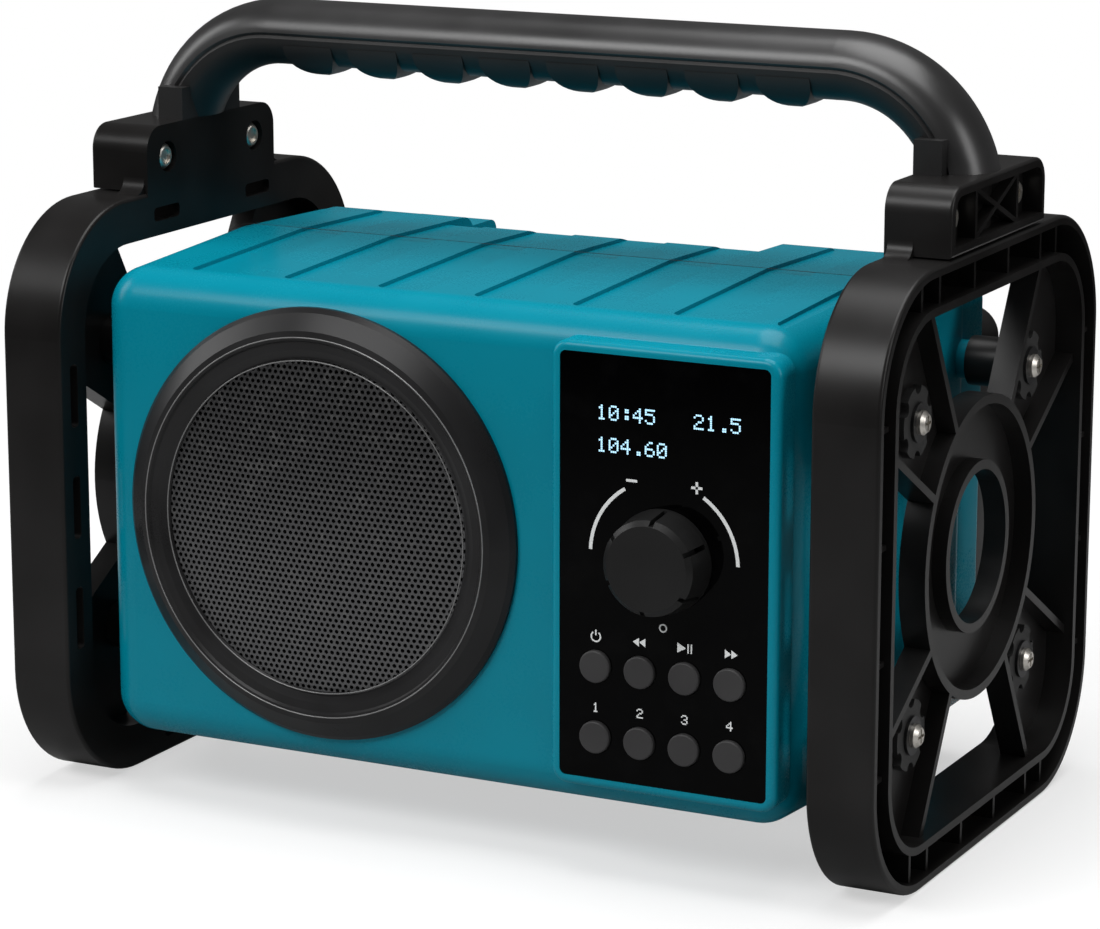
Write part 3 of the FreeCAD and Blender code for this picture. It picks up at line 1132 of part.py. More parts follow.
def speaker_bezel():
    """The stepped black ring around the grille, with pegs that the screws bite into."""
    face = BODY_FRONT_Y
    top = face - BEZEL_HEIGHT
    inner = BEZEL_INNER_R
    ring = turned((
        (BEZEL_R, face), (BEZEL_R, face - 1.4), (BEZEL_R - 1.4, face - 2.9), (BEZEL_RIDGE_R + 2.0,
                                                                              top + 0.5),
        (BEZEL_RIDGE_R, top), (BEZEL_RIDGE_R - 0.9, top + 0.1), (BEZEL_RIDGE_R - 1.5, top + 0.9),
        (inner + 3.4, top + 1.2), (inner + 0.6, top + 2.2), (inner, top + 2.9), (inner, top + 3.4),
        (GRILLE_R + 0.3, top + 3.4), (GRILLE_R + 0.3, face)),
        (SPEAKER_X, SPEAKER_Z), "Y")
    pegs = [rod("Y", face - 1.0, INNER_FRONT_Y, x, z, SPEAKER_PEG_R) for x, z in speaker_screw_places()]
    holes = [rod("Y", face - 1.5, INNER_FRONT_Y + 1.0, x, z, SPEAKER_SCREW_R) for x,
             z in speaker_screw_places()]
    return fuse([ring] + pegs).cut(holes)


def dome_shell(radius, edge_y, rise, thick):
    """A round sheet with a spherical crown towards the front, as a turned solid."""
    steps = 10
    front = [(radius * k / steps, edge_y - rise * (1.0 - (k / steps) ** 2)) for k in range(steps + 1)]
    back = [(r, y + thick) for r, y in reversed(front)]
    return turned(front + back, (SPEAKER_X, SPEAKER_Z), "Y")


def speaker_grille():
    """The crowned metal grille with a flat rim that seats on the front wall."""
    edge = BODY_FRONT_Y - BEZEL_HEIGHT + GRILLE_EDGE_DEPTH
    dome = dome_shell(BEZEL_INNER_R - 0.3, edge, GRILLE_DOME, GRILLE_THICK)
    rim = pipe("Y", edge, BODY_FRONT_Y, SPEAKER_X, SPEAKER_Z, GRILLE_R, SPEAKER_HOLE_R + 0.5)
    return dome.fuse(rim)


def speaker_gasket():
    """The foam ring between the front wall and the loudspeaker."""
    lo = INNER_FRONT_Y
    ring = pipe("Y", lo, lo + SPEAKER_GASKET, SPEAKER_X, SPEAKER_Z, BASKET_FLANGE_R, SPEAKER_HOLE_R)
    holes = [rod("Y", lo - 1, lo + 3, x, z, SPEAKER_SCREW_R + 0.3) for x, z in speaker_screw_places()]
    return ring.cut(holes)


def speaker_basket():
    """The pressed-steel basket: flange, four-window cone and back plate."""
    lo = INNER_FRONT_Y + SPEAKER_GASKET
    back = SPEAKER_BACK_Y
    wall = 1.2
    shape = turned((
        (SURROUND_R + 0.5, lo), (BASKET_FLANGE_R, lo), (BASKET_FLANGE_R, back), (SURROUND_R + 3.0, back),
        (SURROUND_R + 1.0, back + 6.0), (MAGNET_R - 1.0, MAGNET_Y - 3.0), (MAGNET_R - 1.0, MAGNET_Y),
        (VOICE_R + 3.0, MAGNET_Y), (VOICE_R + 3.0, MAGNET_Y - wall - 0.6), (MAGNET_R - 2.6,
                                                                            MAGNET_Y - wall - 0.6),
        (MAGNET_R - 2.6, MAGNET_Y - 3.4), (SURROUND_R - 0.8, back + 5.6), (SURROUND_R + 0.5, back)),
        (SPEAKER_X, SPEAKER_Z), "Y")
    windows = []
    for k in range(4):
        window = slab("Y", back + 9.0, MAGNET_Y - 6.0, SPEAKER_X + MAGNET_R - 12.0,
                      SPEAKER_X + SURROUND_R + 12.0,
                      SPEAKER_Z - 15.0, SPEAKER_Z + 15.0, 3.0)
        window.rotate(Vector(SPEAKER_X, 0, SPEAKER_Z), Vector(0, 1, 0), 90.0 * k)
        windows.append(window)
    holes = [rod("Y", lo - 1, back + 1, x, z, SPEAKER_SCREW_R + 0.3) for x, z in speaker_screw_places()]
    return shape.cut(windows + holes)


def speaker_surround():
    """The rubber roll between the basket and the cone."""
    lo = INNER_FRONT_Y + SPEAKER_GASKET
    middle = (SURROUND_R + CONE_R) / 2.0
    half = (SURROUND_R - CONE_R) / 2.0
    steps = 8
    crown = []
    floor = []
    for k in range(steps + 1):
        angle = math.pi * k / steps
        crown.append((middle + half * math.cos(angle), lo - half * 0.8 * math.sin(angle)))
        floor.append((middle + half * math.cos(angle), lo + 0.7 - half * 0.8 * math.sin(angle)))
    return turned(crown + floor[::-1], (SPEAKER_X, SPEAKER_Z), "Y")


def cone_neck_y():
    """Where the cone meets the voice coil's tube."""
    return MAGNET_Y - 8.0


def speaker_cone():
    """The paper cone from the surround down to the voice coil."""
    lo = INNER_FRONT_Y + SPEAKER_GASKET
    deep = cone_neck_y()
    paper = CONE_PAPER
    return turned(((CONE_R, lo), (CONE_R, lo + 0.7), (VOICE_R, deep), (VOICE_R, MAGNET_Y - 2.0),
                   (VOICE_R - paper, MAGNET_Y - 2.0), (VOICE_R - paper, deep - paper), (CONE_R - 1.0, lo)),
                  (SPEAKER_X, SPEAKER_Z), "Y")


def dust_cap():
    """The crowned cap at the middle of the cone."""
    front = INNER_FRONT_Y + SPEAKER_GASKET
    neck = cone_neck_y() - CONE_PAPER
    thick = 0.8
    edge = neck - 6.0
    along = (edge + thick - front) / (neck - front)
    radius = (CONE_R - 1.0) + along * (VOICE_R - CONE_PAPER - CONE_R + 1.0) - 0.1
    return dome_shell(radius, edge, 5.0, thick)


def speaker_magnet():
    """The ferrite ring between two steel plates, with its pole."""
    top = pipe("Y", MAGNET_Y, MAGNET_Y + 3.0, SPEAKER_X, SPEAKER_Z, MAGNET_R - 1.0, VOICE_R + 1.0)
    ring = pipe("Y", MAGNET_Y + 3.0, MAGNET_Y + MAGNET_THICK - 3.0, SPEAKER_X, SPEAKER_Z, MAGNET_R,
                VOICE_R + 4.0)
    plate = rod("Y", MAGNET_Y + MAGNET_THICK - 3.0, MAGNET_Y + MAGNET_THICK, SPEAKER_X, SPEAKER_Z,
                MAGNET_R - 2.0)
    pole = rod("Y", MAGNET_Y, MAGNET_Y + MAGNET_THICK - 3.0, SPEAKER_X, SPEAKER_Z, VOICE_R - 1.6)
    return fuse([top, ring, plate, pole])


def speaker_screws():
    """Screws from inside, through the basket's flange into the bezel's pegs."""
    seat = SPEAKER_BACK_Y
    return [pan_screw(seat, BODY_FRONT_Y - 1.4, x, z, SPEAKER_SCREW_R, 2.6, 1.8) for x,
            z in speaker_screw_places()]


# Back cover and what it holds

def cover_screw_places():
    """The four screws that hold the back cover, as (x, z)."""
    return [(x, z) for x in (-COVER_SCREW_X, COVER_SCREW_X) for z in (COVER_SCREW_LOW_Z,
                                                                      COVER_SCREW_HIGH_Z)]


def hinge_axis():
    """The battery door's hinge line, as (y, z)."""
    return COVER_REAR_Y + HINGE_OUT, BAY_Z0 + DOOR_GAP + 0.2


def back_cover():
    """The black moulding behind the teal shells."""
    half = COVER_HALF_X
    tub = slab("Y", BODY_BACK_Y, COVER_REAR_Y, -half, half, COVER_Z0, COVER_Z1, COVER_CORNER_R)
    tub = tub.makeFillet(COVER_EDGE_R,
                         [edge for edge in tub.Edges if near(edge.BoundBox.YMin, COVER_REAR_Y)])
    wall = COVER_WALL
    tub = tub.cut(slab("Y", BODY_BACK_Y - 1.0, COVER_INNER_Y, -half + wall, half - wall, COVER_Z0 + wall,
                       COVER_Z1 - wall, COVER_CORNER_R - wall))
    posts = [rod("Y", BODY_BACK_Y, COVER_INNER_Y + 0.5, x, z, 5.0) for x, z in cover_screw_places()]
    hy, hz = hinge_axis()
    knuckles = []
    for side in (-1, 1):
        for step in (-1, 1):
            x = side * HINGE_X + step * (HINGE_KNUCKLE + 0.4)
            barrel = rod("X", x - HINGE_KNUCKLE / 2.0, x + HINGE_KNUCKLE / 2.0, hy, hz, HINGE_R)
            foot = slab("X", x - HINGE_KNUCKLE / 2.0, x + HINGE_KNUCKLE / 2.0, COVER_REAR_Y - 1.0, hy,
                        hz - HINGE_R, hz - 0.6)
            knuckles.append(barrel.fuse(foot))
    ears = []
    low = COVER_Z1 - 1.0
    for step in (-1, 1):
        near_y = ANTENNA_Y + step * (ANTENNA_KNUCKLE_HALF + 0.15)
        lo, hi = sorted((near_y, near_y + step * ANTENNA_EAR_THICK))
        ears.append(rod("Y", lo, hi, ANTENNA_X, ANTENNA_Z, ANTENNA_EAR_R))
        ears.append(slab("Y", lo, hi, ANTENNA_X - ANTENNA_EAR_R, ANTENNA_X + ANTENNA_EAR_R, low,
                         ANTENNA_Z))
    saddle_x = ANTENNA_SADDLE_X
    saddle = slab("X", saddle_x - 4.0, saddle_x + 4.0, ANTENNA_Y - 6.0, ANTENNA_Y + 6.0, low,
                  ANTENNA_Z + 1.0)
    saddle = saddle.cut(rod("X", saddle_x - 5.0, saddle_x + 5.0, ANTENNA_Y, ANTENNA_Z,
                            whip_radius(saddle_x - 4.0)
                            + 0.35 + (ANTENNA_BASE_R - ANTENNA_TIP_R) * 8.0 / ANTENNA_LENGTH))
    saddle = saddle.cut(slab("X", saddle_x - 5.0, saddle_x + 5.0, ANTENNA_Y - 4.2, ANTENNA_Y + 4.2,
                             ANTENNA_Z,
                             ANTENNA_Z + 5.0))
    cover = fuse([tub] + posts + knuckles + ears + [saddle])
    cuts = [
        slab("Y", COVER_INNER_Y - 1.0, COVER_REAR_Y + 0.01, -BAY_HALF_X, BAY_HALF_X, BAY_Z0, BAY_Z1, 2.0),
        slab("Y", COVER_INNER_Y - 1.0, COVER_REAR_Y + 1.0, PORT_X0, PORT_X1, PORT_Z0, PORT_Z1, 2.0),
        rod("X", -HINGE_X - 2.0 * HINGE_KNUCKLE, HINGE_X + 2.0 * HINGE_KNUCKLE, hy, hz, HINGE_PIN_R),
        rod("Y", ANTENNA_Y - 20.0, ANTENNA_Y + 20.0, ANTENNA_X, ANTENNA_Z, ANTENNA_PIN_R),
    ]
    for side in (-1, 1):
        x = side * HINGE_X
        cuts.append(rod("X", x - HINGE_KNUCKLE / 2.0 - 0.4, x + HINGE_KNUCKLE / 2.0 + 0.4, hy, hz,
                        HINGE_R + 0.4))
    for x, z in cover_screw_places():
        cuts.append(rod("Y", BODY_BACK_Y - 1.0, COVER_REAR_Y + 1.0, x, z, SHELL_SCREW_R + 0.3))
        cuts.append(rod("Y", BODY_BACK_Y + 4.0, COVER_REAR_Y + 1.0, x, z, SHELL_SCREW_HEAD_R + 0.4))
    for k in range(5):
        z = COVER_Z1 - 10.0 - 5.0 * k
        cuts.append(slab("Y", COVER_REAR_Y - 0.8, COVER_REAR_Y + 1.0, PORT_X1 + 23.0,
                         COVER_HALF_X - 13.5, z - 0.9, z + 0.9))
    return cover.cut(cuts)


def cover_screws():
    """Screws at the bottom of the cover's corner holes."""
    return [pan_screw(BODY_BACK_Y + 4.0, BODY_BACK_Y - 11.0, x, z, SHELL_SCREW_R, SHELL_SCREW_HEAD_R,
                      SHELL_SCREW_HEAD) for x, z in cover_screw_places()]


def bay_floor_y():
    """The inner face of the battery box's floor."""
    return COVER_INNER_Y - 0.6 - 2.0 * CELL_R


def battery_box():
    """The open box that holds the cells behind the door."""
    wall = BAY_WALL
    floor = bay_floor_y()
    outer = slab("Y", floor - wall, COVER_INNER_Y, -BAY_HALF_X - wall, BAY_HALF_X + wall, BAY_Z0 - wall,
                 BAY_Z1 + wall, 3.0)
    inner = slab("Y", floor, COVER_INNER_Y + 1.0, -BAY_HALF_X, BAY_HALF_X, BAY_Z0, BAY_Z1, 1.5)
    box = outer.cut(inner)
    screw_x, screw_z = door_screw_place()
    boss = slab("Y", floor - 0.5, COVER_INNER_Y - 2.5, screw_x - 6.5, screw_x + 6.5, screw_z - 4.0,
                BAY_Z1 + 0.5)
    hole = rod("Y", COVER_INNER_Y - 14.0, COVER_INNER_Y, screw_x, screw_z, DOOR_SCREW_SHANK_R + 0.5)
    return box.fuse(boss).cut(hole)


def cell_rows():
    """The heights of the two rows of cells."""
    low = BAY_Z0 + CELL_R + 0.3
    return (low, low + 2.0 * CELL_R + CELL_GAP / 2.0)


def cells():
    """Four large round cells, two end to end in each row."""
    y = bay_floor_y() + CELL_R + 0.3
    solids = []
    for z in cell_rows():
        for side in (-1, 1):
            lo, hi = sorted((side * CELL_GAP, side * (CELL_GAP + CELL_LENGTH)))
            can = rod("X", lo, hi - 1.6, y, z, CELL_R)
            solids.append(can.fuse(rod("X", hi - 1.6, hi, y, z, 4.8)))
    return solids


def contact_plates():
    """Metal plates at both ends of the rows of cells."""
    floor = bay_floor_y()
    low = cell_rows()[0] - CELL_R + 3.0
    high = cell_rows()[1] + CELL_R - 3.0
    plates = []
    for side in (-1, 1):
        lo, hi = sorted((side * (BAY_HALF_X - CONTACT_THICK), side * BAY_HALF_X))
        plates.append(slab("X", lo, hi, floor + 4.0, floor + 2.0 * CELL_R - 4.0, low, high))
    return plates


def contact_springs():
    """Round springs that press on the cells' ends, as plain sleeves."""
    y = bay_floor_y() + CELL_R + 0.3
    springs = []
    for z in cell_rows():
        for side in (-1, 1):
            end = side * (CELL_GAP + CELL_LENGTH)
            lo, hi = sorted((end, side * (BAY_HALF_X - CONTACT_THICK)))
            springs.append(pipe("X", lo, hi, y, z, SPRING_R, SPRING_R - SPRING_WIRE))
    return springs


def door_screw_place():
    """The captive screw at the top of the battery door, as (x, z)."""
    return 0.0, BAY_Z1 - DOOR_SCREW_INSET / 2.0 + 0.4


def battery_door():
    """The hinged door with its two hinge knuckles."""
    gap = DOOR_GAP
    plate = slab("Y", COVER_REAR_Y - DOOR_THICK, COVER_REAR_Y, -BAY_HALF_X + gap, BAY_HALF_X - gap,
                 BAY_Z0 + 3.2, BAY_Z1 - gap, 1.6)
    hy, hz = hinge_axis()
    parts = [plate]
    for side in (-1, 1):
        x = side * HINGE_X
        parts.append(rod("X", x - HINGE_KNUCKLE / 2.0, x + HINGE_KNUCKLE / 2.0, hy, hz, HINGE_R))
        parts.append(slab("X", x - HINGE_KNUCKLE / 2.0, x + HINGE_KNUCKLE / 2.0, COVER_REAR_Y - 1.2,
                          hy + 0.8,
                          hz, BAY_Z0 + 4.6))
    screw_x, screw_z = door_screw_place()
    cuts = [rod("X", -HINGE_X - HINGE_KNUCKLE, HINGE_X + HINGE_KNUCKLE, hy, hz, HINGE_PIN_R + HINGE_RUN),
            rod("Y", COVER_REAR_Y - 10.0, COVER_REAR_Y + 1.0, screw_x, screw_z,
                DOOR_SCREW_SHANK_R + HINGE_RUN)]
    for k in range(6):
        x = (k - 2.5) * 18.0
        cuts.append(slab("Y", COVER_REAR_Y - 0.8, COVER_REAR_Y + 1.0, x - 5.0, x + 5.0, BAY_Z0 + 12.0,
                         BAY_Z0 + 56.0, 3.0))
    return fuse(parts).cut(cuts)


def door_pin():
    """The wire pin of the door's hinge, in two short lengths."""
    hy, hz = hinge_axis()
    reach = 1.5 * HINGE_KNUCKLE + 0.4
    return [rod("X", side * HINGE_X - reach, side * HINGE_X + reach, hy, hz, HINGE_PIN_R) for side in (-1,
                                                                                                       1)]


def door_screw():
    """The captive coin-slot screw of the battery door."""
    x, z = door_screw_place()
    out = COVER_REAR_Y
    head = turned(((0, out + 0.2), (DOOR_SCREW_R - 2.2, out + 0.2), (DOOR_SCREW_R - 2.2, out + 1.6),
                   (DOOR_SCREW_R - 2.8, out + 2.2), (0, out + 2.2)), (x, z), "Y")
    shank = rod("Y", COVER_INNER_Y - 10.0, out + 0.5, x, z, DOOR_SCREW_SHANK_R)
    slot = slab("Y", out + 1.2, out + 3.0, x - 5.0, x + 5.0, z - 0.6, z + 0.6)
    return head.fuse(shank).cut(slot)


def port_block():
    """The socket block behind the flap: an audio socket and a power socket."""
    wall_y = COVER_INNER_Y
    x = (PORT_X0 + PORT_X1) / 2.0
    block = slab("Y", wall_y - PORT_DEPTH, wall_y, PORT_X0 - 2.0, PORT_X1 + 2.0, PORT_Z0 - 2.0,
                 PORT_Z1 + 2.0, 2.0)
    aux_z = PORT_Z0 + (PORT_Z1 - PORT_Z0) * 0.72
    dc_z = PORT_Z0 + (PORT_Z1 - PORT_Z0) * 0.30
    block = block.cut([rod("Y", wall_y - AUX_DEPTH, wall_y + 1.0, x, aux_z, AUX_R),
                       rod("Y", wall_y - DC_DEPTH, wall_y + 1.0, x, dc_z, DC_R)])
    return block.fuse(rod("Y", wall_y - DC_DEPTH - 0.5, wall_y - 1.0, x, dc_z, DC_PIN_R))


def port_flap():
    """The rubber flap over the sockets, with its hinge roll on the left."""
    gap = FLAP_GAP
    plate = slab("Y", COVER_REAR_Y - 1.0, COVER_REAR_Y - 1.0 + FLAP_THICK, PORT_X0 + gap, PORT_X1 - gap,
                 PORT_Z0 + gap,
                 PORT_Z1 - gap, 1.7)
    tab = slab("Y", COVER_REAR_Y - 1.0 + FLAP_THICK, COVER_REAR_Y + 2.0, PORT_X1 - 5.0, PORT_X1 - 3.4,
               PORT_Z0 + 8.0,
               PORT_Z1 - 8.0)
    return plate.fuse(tab)


# Antenna

def whip_radius(x):
    """The tapered whip's radius at a place along it."""
    along = (ANTENNA_X - x) / ANTENNA_LENGTH
    return ANTENNA_BASE_R + (ANTENNA_TIP_R - ANTENNA_BASE_R) * along


def antenna_knuckle():
    """The metal knuckle that turns on the pivot pin and carries the whip."""
    half = ANTENNA_KNUCKLE_HALF
    eye = rod("Y", ANTENNA_Y - half, ANTENNA_Y + half, ANTENNA_X, ANTENNA_Z, ANTENNA_EAR_R - 0.6)
    neck = rod("X", ANTENNA_X - 16.0, ANTENNA_X, ANTENNA_Y, ANTENNA_Z, half - 0.2)
    bore = rod("Y", ANTENNA_Y - 10.0, ANTENNA_Y + 10.0, ANTENNA_X, ANTENNA_Z, ANTENNA_PIN_R + ANTENNA_RUN)
    return eye.fuse(neck).cut(bore)


def antenna_whip():
    """The tapered rubber-covered whip."""
    start = ANTENNA_X - 8.0
    end = ANTENNA_X - ANTENNA_LENGTH
    bore_end = ANTENNA_X - 16.0
    profile = ((0, end), (ANTENNA_TIP_R * 0.7, end), (ANTENNA_TIP_R, end + 2.0), (ANTENNA_BASE_R, start),
               (ANTENNA_KNUCKLE_HALF - 0.2, start), (ANTENNA_KNUCKLE_HALF - 0.2, bore_end), (0, bore_end))
    return turned(profile, (ANTENNA_Y, ANTENNA_Z), "X")


def antenna_pin():
    """The pivot pin through both ears."""
    reach = ANTENNA_KNUCKLE_HALF + 0.15 + ANTENNA_EAR_THICK
    return rod("Y", ANTENNA_Y - reach, ANTENNA_Y + reach, ANTENNA_X, ANTENNA_Z, ANTENNA_PIN_R)


def both_sides(solids):
    """A list of right-hand pieces with their left-hand mirror images."""
    return list(solids) + [mirrored(solid) for solid in solids]


def build():
    """Make every node."""
    right = side_frame()
    keep("frame_right", *right)
    keep("frame_left", *[mirrored(solid) for solid in right])
    outer_clamp = clamp()
    keep("clamp_right", outer_clamp)
    keep("clamp_left", mirrored(outer_clamp))
    keep("clamp_bolts", *both_sides(clamp_bolts()))
    keep("clamp_nuts", *both_sides(clamp_nuts()))
    keep("handle_upper", handle_upper())
    keep("handle_lower", handle_lower())
    keep("frame_screws", *both_sides(frame_screws()))
    keep("frame_washers", *both_sides(frame_washers()))
    keep("frame_grommets", *both_sides(frame_grommets()))
    keep("front_shell", front_shell())
    keep("rear_shell", rear_shell())
    keep("shell_gasket", seam_ring())
    keep("shell_screws", *shell_screws())
    keep("panel_window", panel_window())
    for index, (x, z) in enumerate(button_places(), start=1):
        keep(f"button_{index}", button(x, z))
    keep("keypad_mat", keypad_mat())
    keep("board_spacer", board_spacer())
    keep("control_board", control_board())
    keep("tact_switches", *tact_switches())
    keep("display_module", display_module())
    keep("encoder_body", encoder_body())
    keep("encoder_shaft", encoder_shaft())
    keep("control_knob", knob())
    keep("board_standoffs", *board_standoffs())
    keep("main_board", main_board())
    keep("board_parts", *board_parts())
    keep("speaker_bezel", speaker_bezel())
    keep("speaker_grille", speaker_grille())
    keep("speaker_gasket", speaker_gasket())
    keep("speaker_basket", speaker_basket())
    keep("speaker_surround", speaker_surround())
    keep("speaker_cone", speaker_cone())
    keep("speaker_dust_cap", dust_cap())
    keep("speaker_magnet", speaker_magnet())
    keep("speaker_screws", *speaker_screws())
    keep("back_cover", back_cover())
    keep("cover_screws", *cover_screws())
    keep("battery_box", battery_box())
    keep("battery_cells", *cells())
    keep("contact_plates", *contact_plates())
    keep("contact_springs", *contact_springs())
    keep("battery_door", battery_door())
    keep("door_pin", *door_pin())
    keep("door_screw", door_screw())
    keep("port_block", port_block())
    keep("port_flap", port_flap())
    keep("antenna_knuckle", antenna_knuckle())
    keep("antenna_whip", antenna_whip())
    keep("antenna_pin", antenna_pin())


def save():
    """Write every node, shifted so that the origin is under the object's middle."""
    os.makedirs("parts", exist_ok=True)
    for name, shape in PARTS.items():
        placed = shape.copy()
        placed.translate(Vector(0, ORIGIN_SHIFT_Y, 0))
        placed.exportStep(f"parts/{name}.step")
        print(f"{name:18s} solids {len(placed.Solids):2d}  valid {placed.isValid()}")


build()
save()
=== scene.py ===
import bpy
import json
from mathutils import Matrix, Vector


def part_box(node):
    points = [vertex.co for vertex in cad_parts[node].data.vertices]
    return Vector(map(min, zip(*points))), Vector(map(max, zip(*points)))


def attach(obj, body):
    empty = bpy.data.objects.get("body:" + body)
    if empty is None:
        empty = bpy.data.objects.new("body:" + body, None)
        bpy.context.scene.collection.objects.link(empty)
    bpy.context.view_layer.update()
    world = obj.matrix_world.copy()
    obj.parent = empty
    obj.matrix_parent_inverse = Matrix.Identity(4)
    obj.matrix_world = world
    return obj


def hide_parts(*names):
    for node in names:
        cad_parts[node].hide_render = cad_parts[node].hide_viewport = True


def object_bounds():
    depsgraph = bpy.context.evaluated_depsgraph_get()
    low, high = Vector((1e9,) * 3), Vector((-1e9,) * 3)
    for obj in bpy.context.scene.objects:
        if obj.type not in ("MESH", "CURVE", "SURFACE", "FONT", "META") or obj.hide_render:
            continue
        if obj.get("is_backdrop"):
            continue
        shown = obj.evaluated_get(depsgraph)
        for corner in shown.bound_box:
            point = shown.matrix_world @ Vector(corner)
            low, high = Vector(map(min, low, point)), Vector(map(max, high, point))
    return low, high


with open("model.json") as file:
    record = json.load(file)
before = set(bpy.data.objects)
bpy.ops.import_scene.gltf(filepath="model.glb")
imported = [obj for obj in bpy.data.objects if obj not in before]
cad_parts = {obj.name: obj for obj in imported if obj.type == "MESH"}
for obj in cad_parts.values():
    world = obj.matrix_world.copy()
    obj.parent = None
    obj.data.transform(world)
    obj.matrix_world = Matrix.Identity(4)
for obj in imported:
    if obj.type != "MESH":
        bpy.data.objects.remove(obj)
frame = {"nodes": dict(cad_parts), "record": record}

import json
import logging
import math
from dataclasses import dataclass
from enum import Enum
from typing import Any, Union

import bpy
import numpy as np
from mathutils import Vector

# Jobsite radio, dressed over its solids. Metres, +Z up, front faces -Y.

log = logging.getLogger("radio")
MM = 0.001
Number = Union[int, float]
Colour = tuple[float, float, float]


class Kind(Enum):
    """Node types that the finishes use."""

    NOISE = "ShaderNodeTexNoise"
    VORONOI = "ShaderNodeTexVoronoi"
    WAVE = "ShaderNodeTexWave"
    COORDS = "ShaderNodeTexCoord"
    SPLIT = "ShaderNodeSeparateXYZ"
    MATHS = "ShaderNodeMath"
    VECTOR = "ShaderNodeVectorMath"
    MIX = "ShaderNodeMix"
    RANGE = "ShaderNodeMapRange"
    BUMP = "ShaderNodeBump"
    SHADER = "ShaderNodeBsdfPrincipled"
    OUTPUT = "ShaderNodeOutputMaterial"
    LIGHT_PATH = "ShaderNodeLightPath"
    DIFFUSE = "ShaderNodeBsdfDiffuse"
    EMISSION = "ShaderNodeEmission"
    MIX_SHADER = "ShaderNodeMixShader"
    BACKGROUND = "ShaderNodeBackground"
    WORLD_OUTPUT = "ShaderNodeOutputWorld"


class Signal:
    """An output socket in a shader graph; arithmetic on it adds Math nodes."""

    def __init__(self, graph: "Graph", socket: bpy.types.NodeSocket) -> None:
        """Keeps the graph and the socket."""
        self.graph = graph
        self.socket = socket

    def __add__(self, other: "Term") -> "Signal":
        """This signal plus another."""
        return self.graph.maths("ADD", self, other)

    def __sub__(self, other: "Term") -> "Signal":
        """This signal less another."""
        return self.graph.maths("SUBTRACT", self, other)

    def __rsub__(self, other: "Term") -> "Signal":
        """Another value less this signal."""
        return self.graph.maths("SUBTRACT", other, self)

    def __mul__(self, other: "Term") -> "Signal":
        """This signal times another."""
        return self.graph.maths("MULTIPLY", self, other)

    def __truediv__(self, other: "Term") -> "Signal":
        """This signal over another."""
        return self.graph.maths("DIVIDE", self, other)

    __radd__ = __add__
    __rmul__ = __mul__

    def ramp(self, low: float, high: float, start: "Term" = 0.0, end: "Term" = 1.0) -> "Signal":
        """Maps this signal smoothly and clamps it.

        Args:
            low: the signal's value where the result is start.
            high: the signal's value where the result is end.
            start: the result at and below low.
            end: the result at and above high.

        Returns:
            The mapped signal.
        """
        values = {"Value": self, "From Min": low, "From Max": high, "To Min": start, "To Max": end}
        return self.graph.add(Kind.RANGE, {"interpolation_type": "SMOOTHSTEP"}, values, "Result")


Term = Union[Signal, Number]


class Graph:
    """A node tree, built from the coordinates to the shader."""

    def __init__(self, owner: Union[bpy.types.Material, bpy.types.World]) -> None:
        """Empties the tree of a material or a world."""
        owner.use_nodes = True
        self.owner = owner
        self.tree = owner.node_tree
        self.tree.nodes.clear()
        self.place = self.add(Kind.COORDS, {}, {}, "Object")

    def node(self, kind: Kind, settings: dict[str, Any], inputs: dict[Any, Any]) -> bpy.types.Node:
        """Adds any node: its type, its settings first, then its inputs.

        Args:
            kind: the type of node.
            settings: attributes set before the inputs.
            inputs: values or signals by socket name or index.

        Returns:
            The node.
        """
        node = self.tree.nodes.new(kind.value)
        for key, value in settings.items():
            setattr(node, key, value)
        for key, value in inputs.items():
            if isinstance(value, Signal):
                self.tree.links.new(value.socket, node.inputs[key])
            else:
                node.inputs[key].default_value = value
        return node

    def add(self, kind: Kind, settings: dict[str, Any], inputs: dict[Any, Any], output: Any = 0) -> Signal:
        """Adds a node and hands back one of its outputs as a signal."""
        return Signal(self, self.node(kind, settings, inputs).outputs[output])

    def maths(self, operation: str, a: Term, b: Term = 0.0) -> Signal:
        """One Math node of two terms."""
        return self.add(Kind.MATHS, {"operation": operation}, {0: a, 1: b}, "Value")

    def stretched(self, scale: Colour) -> Signal:
        """The object coordinates, scaled by a different amount along each axis."""
        return self.add(Kind.VECTOR, {"operation": "MULTIPLY"}, {0: self.place, 1: scale}, "Vector")

    def noise(self, size: float, detail: float = 3.0, roughness: float = 0.55,
              vector: Union[Signal, None] = None) -> Signal:
        """Fractal noise.

        Args:
            size: the size of its features in metres, or 1 for coordinates that are scaled already.
            detail: the number of octaves.
            roughness: how strong the finer octaves are.
            vector: coordinates in place of the object's.

        Returns:
            The noise, from 0 to 1.
        """
        inputs = {"Vector": vector or self.place, "Scale": 1.0 / size, "Detail": detail,
                  "Roughness": roughness}
        return self.add(Kind.NOISE, {}, inputs, 0)

    def blend(self, factor: Term, a: Any, b: Any) -> Signal:
        """A colour between two colours."""
        inputs = {0: factor, 6: rgba(a), 7: rgba(b)}
        return self.add(Kind.MIX, {"data_type": "RGBA"}, inputs, 2)

    def bump(self, height: Signal, strength: float, distance: float) -> Signal:
        """The normal over a height signal whose full range stands distance metres tall."""
        return self.add(Kind.BUMP, {}, {"Strength": strength, "Distance": distance, "Height": height},
                        "Normal")

    def finish(self, **sockets: Any) -> bpy.types.Material:
        """Joins the shader to the output.

        Args:
            **sockets: values or signals by the shader's socket names, with _ for each space.

        Returns:
            The finished material.
        """
        inputs = {key.replace("_", " "): value for key, value in sockets.items()}
        shader = self.add(Kind.SHADER, {}, inputs, "BSDF")
        self.node(Kind.OUTPUT, {}, {"Surface": shader})
        return self.owner


def rgba(colour: Any) -> Any:
    """A colour with full alpha; a signal stays as it is."""
    return colour if isinstance(colour, Signal) else (*colour, 1.0)


